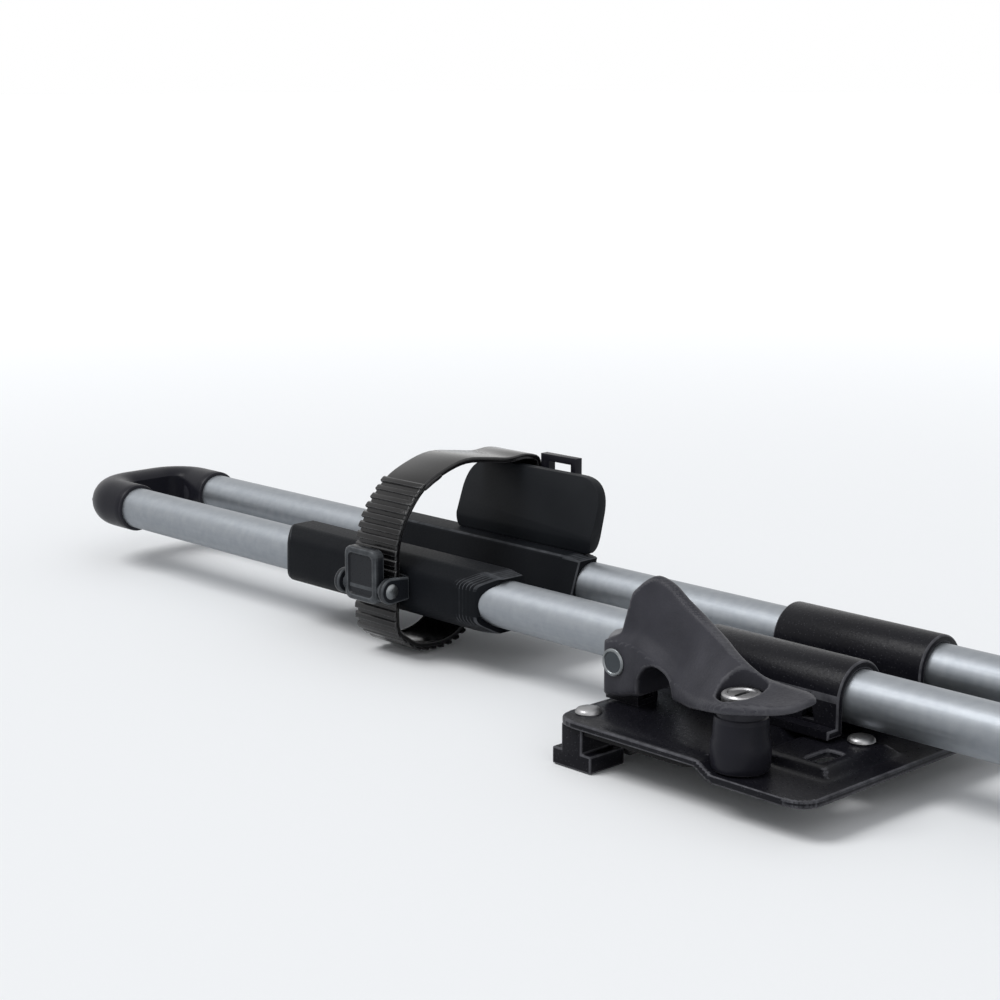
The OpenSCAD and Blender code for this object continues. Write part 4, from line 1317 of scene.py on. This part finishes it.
@dataclass
class Foot(EndPiece):
    """Clamping foot on a roof bar: pressed plate, tube saddle, keys, bracket, lock post and fasteners.

    Attributes:
        plate_x: Reach of the plate along the rails.
        plate_y: Reach of the plate across the rails.
        plate_t: Thickness of the plate.
        plate_top: Height of its upper level.
        drop: Height of its step.
        step_x: Where the step starts.
        island: Corners of the raised island.
        post_at: Place of the lock post.
        post_d: Diameter of the lock post.
        key_rise: How far the barrel's slotted head stands above its flange.
        saddle_x: Reach of the tube saddle along the rails.
        saddle_t: Sheet thickness of the saddle.
        cell: Spacing of the pressed plate's grid.
        corner: Rounding of the plate's outline.
        slot: Size of the slot in the island.
        panel: Height of the plate's raised panel.
        flange: Width of the saddle's outer flanges.
        slot_at: Place of the slot from the island's near front corner.
        rivet_at: Place of the island's rivet from its far front corner.
        rivet_in: Distances of the other rivets from the plate's near and far edges.
        through: Heights between which cuts go through the plate.
        bolt_in: Distance of the bolts from the saddle's ends.
        clearance: Gap between the tubes and the saddle.
    """

    plate_x: Point = (-8.0, 107.0)
    plate_y: Point = (-89.0, 40.0)
    plate_t: float = 3.0
    plate_top: float = 6.0
    drop: float = 4.0
    step_x: float = 60.0
    island: tuple[Point, Point] = ((67.0, -66.0), (95.0, -25.0))
    post_at: Point = (70.0, -77.0)
    post_d: float = 21.0
    key_rise: float = 5.6
    saddle_x: Point = (12.5, 80.5)
    saddle_t: float = 3.0
    cell: float = 1.5
    corner: float = 11.0
    slot: Point = (7.0, 13.0)
    panel: float = 0.6
    flange: float = 5.0
    slot_at: Point = (-8.0, 13.0)
    rivet_at: Point = (-8.0, -7.0)
    rivet_in: Point = (11.0, 10.0)
    through: Point = (-20.0, 30.0)
    bolt_in: float = 15.0
    clearance: float = 0.1

    @property
    def bar(self) -> float:
        """Place of the roof bar's slot along the rails."""
        return self.joint("lever_swing").x

    @staticmethod
    def ramp(value: float, start: float, stop: float) -> float:
        """Smooth step from 0 to 1 between two places."""
        share = min(max((value - start) / (stop - start), 0.0), 1.0)
        return share * share * (3 - 2 * share)

    def height(self, x: float, y: float) -> float:
        """Height of the pressed sheet's upper face.

        Args:
            x: Place along the rails from the slot.
            y: Place across the rails.

        Returns:
            The height in millimetres.
        """
        step = self.ramp(x, self.step_x - 1.0, self.step_x + 8.0)
        (x0, y0), (x1, y1) = self.island
        inside = min(
            self.ramp(x, x0 - 3, x0 + 2), 1 - self.ramp(x, x1 - 1, x1 + 4),
            self.ramp(y, y0 - 1, y0 + 4), 1 - self.ramp(y, y1 - 3, y1 + 2),
        )
        rear, near = self.plate_x[0], self.plate_y[0]
        rim = min(self.ramp(y, near + 3, near + 8), self.ramp(x, rear + 2, rear + 6))
        panel = self.panel * rim * (1 - step)
        seat = self.ramp(math.dist((x, y), self.post_at), self.post_d / 2 + 1.0, self.post_d / 2 + 4.0)
        return self.plate_top - self.panel + panel - self.drop * step * (1 - inside * 0.85 * seat)

    def plate(self) -> Thing:
        """Presses the plate: a formed sheet, trimmed to its outline and pierced.

        Returns:
            The plate.
        """
        margin = 4.0
        nx = round((self.plate_x[1] - self.plate_x[0] + 2 * margin) / self.cell)
        ny = round((self.plate_y[1] - self.plate_y[0] + 2 * margin) / self.cell)
        solid = bmesh.new()
        grid = []
        for i in range(nx + 1):
            x = self.plate_x[0] - margin + i * self.cell
            column = [self.plate_y[0] - margin + j * self.cell for j in range(ny + 1)]
            grid.append([solid.verts.new(at(self.bar + x, y, self.height(x, y))) for y in column])
        for i in range(nx):
            for j in range(ny):
                solid.faces.new((grid[i][j], grid[i + 1][j], grid[i + 1][j + 1], grid[i][j + 1]))
        sheet = to_object(self.node("foot_plate_pressing"), solid)
        wall = sheet.modifiers.new("wall", "SOLIDIFY")
        wall.thickness = self.plate_t * MM
        wall.offset = -1.0
        bake(sheet)
        middle = (self.bar + sum(self.plate_x) / 2, sum(self.plate_y) / 2)
        size = (self.plate_x[1] - self.plate_x[0], self.plate_y[1] - self.plate_y[0])
        outline = rounded_box(size, self.corner, 10, middle)
        carve(sheet, along_z("outline", outline, *self.through, 0.1), keep="INTERSECT")
        (_, y0), (x1, _) = self.island
        place = (self.bar + x1 + self.slot_at[0], y0 + self.slot_at[1])
        slot = rounded_box(self.slot, 1.2, 4, place)
        carve(sheet, along_z("slot", slot, *self.through, 0.1))
        return mould(sheet, 0.7, 3)

    def saddle(self) -> Thing:
        """Bends the saddle from one sheet: two arches over the tubes, a web and outer flanges.

        Returns:
            The saddle.
        """
        inner = TUBE_R + self.clearance
        outer = inner + self.saddle_t
        foot = self.plate_top
        over = arc((RAIL_Y, AXIS_Z), outer, 180, 0, 30)
        under = arc((RAIL_Y, AXIS_Z), inner, 180, 0, 30)
        edge = RAIL_Y + outer + self.flange
        right_top = [(0.0, foot + self.saddle_t), (RAIL_Y - outer, foot + self.saddle_t)] + over
        right_top += [(RAIL_Y + outer, foot + self.saddle_t), (edge, foot + self.saddle_t)]
        right_low = [(edge, foot), (RAIL_Y + inner, foot)] + under[::-1]
        right_low += [(RAIL_Y - inner, foot), (0.0, foot)]
        right = right_top[1:] + right_low[:-1]
        left = [(-y, z) for y, z in reversed(right)]
        start, stop = self.bar + self.saddle_x[0], self.bar + self.saddle_x[1]
        sheet = along_x(self.node("tube_saddle_bent"), right + left, start, stop, 0.7)
        notch = [(stop - 16, foot + 4), (stop - 10, foot + 4), (stop - 12, AXIS_Z + 2)]
        carve(sheet, along_y("notch", notch, -RAIL_Y - outer - 2, -RAIL_Y - 2, 0.05))
        return polish(sheet, angle=40.0)

    def post(self) -> Thing:
        """Turns the bulged lock post with its open top.

        Returns:
            The post.
        """
        low, high = box_mm(self.node("lock_post"))
        radius = self.post_d / 2
        tall = high.z - low.z
        bore = 6.05
        profile = [
            (bore, 0.0), (radius - 0.9, 0.0), (radius - 0.35, 0.6), (radius - 0.1, tall * 0.14),
            (radius, tall * 0.3), (radius, tall * 0.42), (radius - 0.25, tall * 0.52),
            (radius - 0.8, tall * 0.6), (radius - 1.0, tall * 0.9), (radius - 1.3, tall - 0.4),
            (radius - 1.8, tall), (radius - 1.9, tall + 2.3), (bore + 1.7, tall + 2.3), (bore + 1.7, tall),
            (bore, tall),
        ]
        post = turned(self.node("lock_post_turned"), profile, 56, looped=True)
        post.data.transform(Matrix.Translation(at(self.bar + self.post_at[0], self.post_at[1], low.z)))
        return polish(post, angle=40.0)

    def barrel(self) -> Thing:
        """Turns the lock barrel, with its slotted head standing in the lever's hole.

        Returns:
            The barrel.
        """
        axis = self.joint("lock_turn")
        low, high = box_mm(self.node("lock_barrel"))
        top = high.z + self.key_rise
        profile = [
            (0.2, low.z), (5.9, low.z), (5.9, high.z - 1.6), (7.0, high.z - 1.5), (7.0, top - 0.6),
            (6.4, top), (5.2, top), (4.8, top - 0.5), (0.2, top - 0.5),
        ]
        barrel = turned(self.node("lock_barrel_turned"), profile, 44)
        carve(barrel, along_z("key", rounded_box((1.7, 7.0), 0.5, 4), top - 4, top + 4, 0.05))
        barrel.data.transform(Matrix.Translation(at(axis.x, axis.y, 0.0)))
        return polish(barrel, angle=40.0)

    def heads(self, name: str, node: str, pattern: Thing, spots: Sequence[Triple]) -> None:
        """Sets one kind of fastener, given at the origin, on its places in millimetres."""
        made = set_out(self.node(name), [at(*spot) for spot in spots], pattern, Look.ZINC)
        dress(polish(made, angle=40.0), Look.ZINC, "rails", self.node(node))

    def fasteners(self) -> None:
        """Sets the rivets in the plate and the bolts in the saddle's web."""
        dome = [(0.2, -6), (3, -6), (3, 0), (5, 0), (4.9, 0.6), (4.2, 1.4), (2.8, 1.9), (0.2, 2.05)]
        x1, y1 = self.island[1]
        near, far = self.plate_y[0] + self.rivet_in[0], self.plate_y[1] - self.rivet_in[1]
        spots = [(self.bar, near, self.plate_top), (self.bar, far, self.plate_top)]
        inside = (self.bar + x1 + self.rivet_at[0], y1 + self.rivet_at[1], self.plate_top - self.panel)
        spots.append(inside)
        self.heads("rivet_heads", "rivets", turned("rivet", dome, 32), spots)
        head = [(0.2, -6), (3, -6), (3, 0), (5.5, 0), (5.5, 3), (5.1, 3.7), (4.2, 4), (0.2, 4)]
        bolt = carve(turned("bolt", head, 36), along_z("socket", circle(2.9, 6), 1.8, 6, 0.05))
        web = self.plate_top + self.saddle_t
        ends = (self.saddle_x[0] + self.bolt_in, self.saddle_x[1] - self.bolt_in)
        self.heads("web_bolts", "saddle_bolts", bolt, [(self.bar + x, 0.0, web) for x in ends])

    def build(self) -> None:
        """Makes the foot at one end."""
        dress(self.plate(), Look.COAT, "rails", self.node("foot_plate"))
        dress(self.saddle(), Look.COAT, "rails", self.node("tube_saddle"))
        dress(self.post(), Look.LOOP, "rails", self.node("lock_post"))
        dress(self.barrel(), Look.ZINC, self.node("barrel_body"), self.node("lock_barrel"))
        self.fasteners()
        pieces = [
            ("seat_pad", 0.8, Look.PAD, "rails"), ("slot_keys", 0.8, Look.COAT, "rails"),
            ("lever_bracket", 0.5, Look.COAT, "rails"), ("pull_bolt", 0.5, Look.ZINC, self.node("pull_body")),
        ]
        for name, soft, look, body in pieces:
            skin(self.node(name), soft, look, body)


@dataclass
class ClampLever(EndPiece):
    """Moulded clamping lever with its finger arch and the hole over the lock.

    Attributes:
        cuts: Outlines across the lever: place along the rails from the pivot, then seven corners as (y, z)
            from the pull line and the plate, from the near lower edge over the ridge to the far lower edge.
        corner: Rounding of the corners of each outline.
        steps: Stretches between neighbouring outlines.
        arch: Middle of the finger arch above the plate, and its radius.
        hole: Diameter of the hole over the lock.
        rooms: Reach from the pivot and half width of the room for the bolt's eye, then for the ears.
        rake: How far the rear edge leans forward for each millimetre above the cheek.
        step: How far the rear edge stands in front of the cheek's.
        shoulder: Height of the cheek above the plate.
        pin: Radius of the pin's head and its distance from the pull line.
        heel: Radius of the round heel about the pivot.
        plate: Height of the plate's upper face.
        fade: Length over which the step and the rake fade out.
        opening: How far the room's cut reaches to the rear and below.
        across: Reach of the cuts across the lever from the pull line.
    """

    cuts: tuple[tuple[float, tuple[Point, ...]], ...] = (
        (-6.4, ((-9.0, 1.5), (-9.0, 23), (-6.9, 26.5), (-4, 42), (2, 43), (11, 36), (11, 1.5))),
        (2, ((-9.8, 2.5), (-9.8, 24), (-7.2, 27.5), (-2, 46.5), (4, 47.5), (11, 38), (11, 3))),
        (10, ((-11.2, 5), (-11.2, 24), (-7.6, 28.5), (0, 48), (5, 48), (11, 34), (11, 5))),
        (17, ((-12.2, 6), (-12.2, 22.5), (-8, 27.5), (0.5, 46.8), (5, 46), (10, 31), (9.5, 7))),
        (24, ((-13, 7), (-13, 20), (-9, 25.5), (0, 42.5), (4.5, 42), (8, 28), (7, 10))),
        (34, ((-14.5, 8), (-14.5, 15.5), (-11, 20.5), (-1.5, 37.5), (3.5, 37), (5, 25), (3, 16))),
        (47, ((-23, 11), (-23, 16.5), (-18, 20), (-6.5, 34), (-2, 33.5), (-2, 26), (-3, 19))),
        (60, ((-30.5, 14.6), (-30.5, 19), (-25.5, 21.5), (-13, 31), (-9, 30.5), (-9, 26.5), (-9, 23))),
        (72, ((-33.5, 17), (-33.5, 21), (-28.5, 22.6), (-15.5, 27.2), (-12, 26.8), (-11.5, 24.4),
            (-11.5, 21.6))),
        (84, ((-32.8, 19.4), (-32.8, 23), (-28, 23.8), (-16, 26.2), (-12.4, 25.8), (-12.2, 24),
            (-12.2, 21.8))),
        (92, ((-31, 21), (-31, 24), (-27, 24.6), (-16.6, 26.2), (-13.4, 25.7), (-13, 24.4), (-13, 22.4))),
        (96, ((-28, 22.2), (-28, 24.8), (-25.4, 25.2), (-18.4, 26), (-15.8, 25.5), (-15.4, 24.5),
            (-15.4, 23))),
        (97.4, ((-24.8, 23.2), (-24.8, 25), (-23.2, 25.3), (-19.6, 25.7), (-18.2, 25.3), (-18, 24.7),
            (-18, 23.6))),
    )
    corner: float = 3.0
    steps: int = 6
    rake: float = 0.16
    step: float = 6.6
    shoulder: float = 25.0
    arch: tuple[Point, float] = ((22.0, 10.0), 9.0)
    hole: float = 17.2
    rooms: tuple[Point, ...] = ((11.8, 3.4), (9.2, 5.8))
    pin: Point = (5.2, 10.5)
    heel: float = 15.4
    plate: float = 6.0
    fade: float = 18.0
    opening: float = 43.0
    across: Point = (-60.0, 40.0)

    @property
    def pivot(self) -> Vector:
        """Pivot of the lever, in millimetres."""
        return self.joint("lever_swing")

    def rings(self) -> list[Ring]:
        """Rounded outlines along the lever.

        Returns:
            The rings of the lever's skin.
        """
        tracks = []
        for k in range(len(self.cuts[0][1])):
            places = blend_points([(x, corners[k][0]) for x, corners in self.cuts], self.steps)
            heights = blend_points([(x, corners[k][1]) for x, corners in self.cuts], self.steps)
            tracks.append([(x, y, z) for (x, y), (_, z) in zip(places, heights)])
        rear = self.cuts[0][0]
        rings = []
        for spots in zip(*tracks):
            x = spots[0][0]
            share = max(0.0, 1 - (x - rear) / self.fade)
            ring = []
            for y, z in round_corners([(y, z) for _, y, z in spots], self.corner, 5):
                step = self.step * min(max((z - self.shoulder + 2) / 4, 0.0), 1.0)
                lean = self.rake * max(0.0, z - self.shoulder)
                ring.append(at(self.pivot.x + x + share * (step + lean), self.pivot.y + y, self.plate + z))
            rings.append(ring)
        return rings

    def room(self) -> Thing:
        """Stepped room between the cheeks, open to the rear and below.

        Returns:
            The room as a solid to cut away.
        """
        (eye, eye_half), (ears, ears_half) = self.rooms
        rings = []
        for y, reach in ((-ears_half, ears), (-eye_half - 0.1, ears), (-eye_half, eye), (eye_half, eye),
                         (eye_half + 0.1, ears), (ears_half, ears)):
            ring = arc((0.0, 0.0), reach, 90, 0, 8)
            ring += [(reach, -self.opening), (-self.opening, -self.opening), (-self.opening, reach)]
            rings.append([at(self.pivot.x + x, self.pivot.y + y, self.pivot.z + z) for x, z in ring])
        return loft("room", rings)

    def pin_head(self) -> Thing:
        """Turns the pivot pin with its flat, eased head in the near cheek.

        Returns:
            The pin, lying across the lever.
        """
        radius, reach = self.pin
        profile = [
            (0.2, -10.8), (3.4, -10.8), (3.9, -10.4), (3.9, reach - 1.6), (radius, reach - 1.6),
            (radius, reach + 0.1), (radius - 0.5, reach + 0.5), (radius - 1.0, reach + 0.5),
            (radius - 1.3, reach + 0.2), (0.2, reach + 0.2),
        ]
        pin = turned(self.node("lever_pin_turned"), profile, 40)
        pin.data.transform(Matrix.Translation(self.pivot * MM) @ Matrix.Rotation(math.pi / 2, 4, "X"))
        return polish(pin, angle=40.0)

    def build(self) -> None:
        """Makes the lever at one end."""
        node = self.node("lever")
        lever = loft(f"{node}_moulding", self.rings())
        solid = bmesh.new()
        solid.from_mesh(lever.data)
        bmesh.ops.poke(solid, faces=[face for face in solid.faces if len(face.verts) > 4])
        bmesh.ops.triangulate(solid, faces=solid.faces)
        solid.to_mesh(lever.data)
        solid.free()
        near, far = (self.pivot.y + reach for reach in self.across)
        (ax, az), radius = self.arch
        arch = arc((self.pivot.x + ax, self.plate + az), radius, 0, 180, 16)
        arch += [(self.pivot.x + ax - radius, -20.0), (self.pivot.x + ax + radius, -20.0)]
        heel = arc((self.pivot.x, self.pivot.z), self.heel, 270, 180, 10)
        heel += [(self.pivot.x - 50, self.pivot.z), (self.pivot.x - 50, -30.0), (self.pivot.x, -30.0)]
        post = self.joint("lock_turn")
        carve(
            lever,
            along_y("arch", arch, near, far, 0.05),
            self.room(),
            along_y("heel", heel, near, far, 0.05),
            along_z("hole", circle(self.hole / 2, 48, (post.x, post.y)), 0.0, 90.0, 0.05),
        )
        dress(mould(lever, 0.6, 9), Look.LEVER, self.node("lever_body"), node)
        dress(self.pin_head(), Look.DARK_STEEL, self.node("lever_body"), self.node("lever_pin"))


# Frame arm


@dataclass
class FrameArm:
    """Folding arm that grips the bicycle's frame, made from its CAD nodes with softened edges.

    Attributes:
        pieces: Node, edge rounding, finish and body of each piece.
    """

    pieces: tuple[tuple[str, float, Look, str], ...] = (
        ("arm_base", 1.6, Look.HOLDER, "rails"),
        ("arm_base_clamp", 1.6, Look.HOLDER, "rails"),
        ("arm_base_screws", 0.4, Look.ZINC, "rails"),
        ("arm_pivot_bolt", 0.6, Look.ZINC, "rails"),
        ("arm_knuckle", 0.8, Look.HOLDER, "arm_body"),
        ("arm_tube", 0.3, Look.TUBE, "arm_body"),
        ("arm_cap", 1.2, Look.LOOP, "arm_body"),
        ("lower_jaw", 1.6, Look.LEVER, "arm_body"),
        ("lower_jaw_pad", 1.0, Look.PAD, "arm_body"),
        ("upper_jaw", 1.6, Look.LEVER, "upper_jaw_body"),
        ("upper_jaw_pad", 1.0, Look.PAD, "upper_jaw_body"),
        ("clamp_spindle", 0.5, Look.ZINC, "knob_body"),
        ("clamp_knob", 1.8, Look.KNOB, "knob_body"),
    )

    def build(self) -> None:
        """Makes every piece of the arm."""
        for piece in self.pieces:
            skin(*piece)


# Studio


@dataclass
class Studio:
    """Camera, floor and soft light.

    Attributes:
        camera_at: Place of the camera in metres.
        tilt: Camera's angle below the horizon, in degrees.
        heading: Camera's turn about Z, in degrees.
        lens: Focal length in millimetres on a 36 mm sensor.
        ambient: Strength of the light from all round.
        floor_size: Side of the floor in metres.
        floor_gap: Gap under the carrier in metres.
        floor_tone: Colour of the floor.
        fade: Distances in metres between which the floor turns white.
        fade_light: Light that turns it white.
    """

    camera_at: Triple = (0.4913, -0.5953, 0.2323)
    tilt: float = 11.734
    heading: float = 46.099
    lens: float = 74.0
    ambient: float = 0.5
    floor_size: float = 40.0
    floor_gap: float = 0.0003
    floor_tone: Triple = (0.86, 0.87, 0.88)
    fade: Point = (0.3, 2.2)
    fade_light: float = 0.25

    def camera(self) -> None:
        """Sets the camera at the photograph's angle."""
        data = bpy.data.cameras.new("camera")
        data.lens = self.lens
        data.sensor_width = 36.0
        made = bpy.data.objects.new("camera", data)
        made.location = self.camera_at
        made.rotation_euler = (math.radians(90.0 - self.tilt), 0.0, math.radians(self.heading))
        bpy.context.scene.collection.objects.link(made)
        bpy.context.scene.camera = made

    def lamp(self, name: str, towards: Triple, spread: float, power: float) -> None:
        """Adds one even, soft lamp that has the same strength everywhere.

        Args:
            name: Name of the lamp.
            towards: Direction from the carrier to the lamp.
            spread: Apparent size of the lamp in degrees, which sets how soft its shadows are.
            power: Strength on a face turned to it.
        """
        data = bpy.data.lights.new(name, "SUN")
        data.angle = math.radians(spread)
        data.energy = power
        made = bpy.data.objects.new(name, data)
        made.rotation_euler = Vector(towards).to_track_quat("Z", "Y").to_euler()
        bpy.context.scene.collection.objects.link(made)

    def floor(self) -> None:
        """Lays the pale floor under the carrier's lowest point. The camera sees it turn white farther off."""
        half = self.floor_size / 2
        level = CAD_BOX[0].z - self.floor_gap
        solid = bmesh.new()
        corners = [(-half, -half), (half, -half), (half, half), (-half, half)]
        solid.faces.new([solid.verts.new((x, y, level)) for x, y in corners])
        made = to_object("floor", solid)
        material = bpy.data.materials.new("floor_pale")
        material.use_nodes = True
        tree = material.node_tree
        place = add_node(tree, "ShaderNodeTexCoord").outputs["Object"]
        away = add_node(tree, "ShaderNodeVectorMath", {0: place}, operation="LENGTH").outputs["Value"]
        seen = add_node(tree, "ShaderNodeLightPath").outputs["Is Camera Ray"]
        feed(tree, tree.nodes["Principled BSDF"], {
            "Base Color": (*self.floor_tone, 1.0),
            "Roughness": 0.9,
            "Specular IOR Level": 0.1,
            "Emission Color": (1.0, 1.0, 1.0, 1.0),
            "Emission Strength": multiply(tree, smooth_ramp(tree, away, self.fade, self.fade_light), seen),
        })
        made.data.materials.append(material)

    def world(self) -> None:
        """Lights the scene evenly, with white behind it that gloss shows too."""
        world = bpy.data.worlds.new("studio")
        bpy.context.scene.world = world
        world.use_nodes = True
        tree = world.node_tree
        soft = tree.nodes["Background"]
        feed(tree, soft, {"Color": (0.95, 0.97, 1.0, 1.0), "Strength": self.ambient})
        white = add_node(tree, "ShaderNodeBackground", {"Color": (1.0, 1.0, 1.0, 1.0)}).outputs["Background"]
        rays = add_node(tree, "ShaderNodeLightPath").outputs
        shown = soft.outputs["Background"]
        for ray in ("Is Camera Ray", "Is Glossy Ray", "Is Transmission Ray"):
            mix = add_node(tree, "ShaderNodeMixShader", {"Fac": rays[ray], 1: shown, 2: white})
            shown = mix.outputs["Shader"]
        feed(tree, tree.nodes["World Output"], {"Surface": shown})

    def build(self) -> None:
        """Sets the whole studio."""
        bpy.context.scene.view_settings.view_transform = "Standard"
        self.camera()
        self.world()
        self.floor()
        self.lamp("key", (-0.35, -0.55, 1.0), 30.0, 1.7)
        self.lamp("fill", (0.8, -0.35, 0.6), 60.0, 0.5)


def main() -> None:
    """Builds every sub-assembly in order."""
    logging.basicConfig(level=logging.INFO, format="%(name)s: %(message)s")
    Studio().build()
    for node in ("near_tube", "far_tube"):
        RailTube().build(node)
    for end in End:
        for kind in (EndLoop, WheelHolder, WheelStrap, RimRest, Buckle, Foot, ClampLever):
            kind(end).build()
    FrameArm().build()


if __name__ == "__main__":
    main()
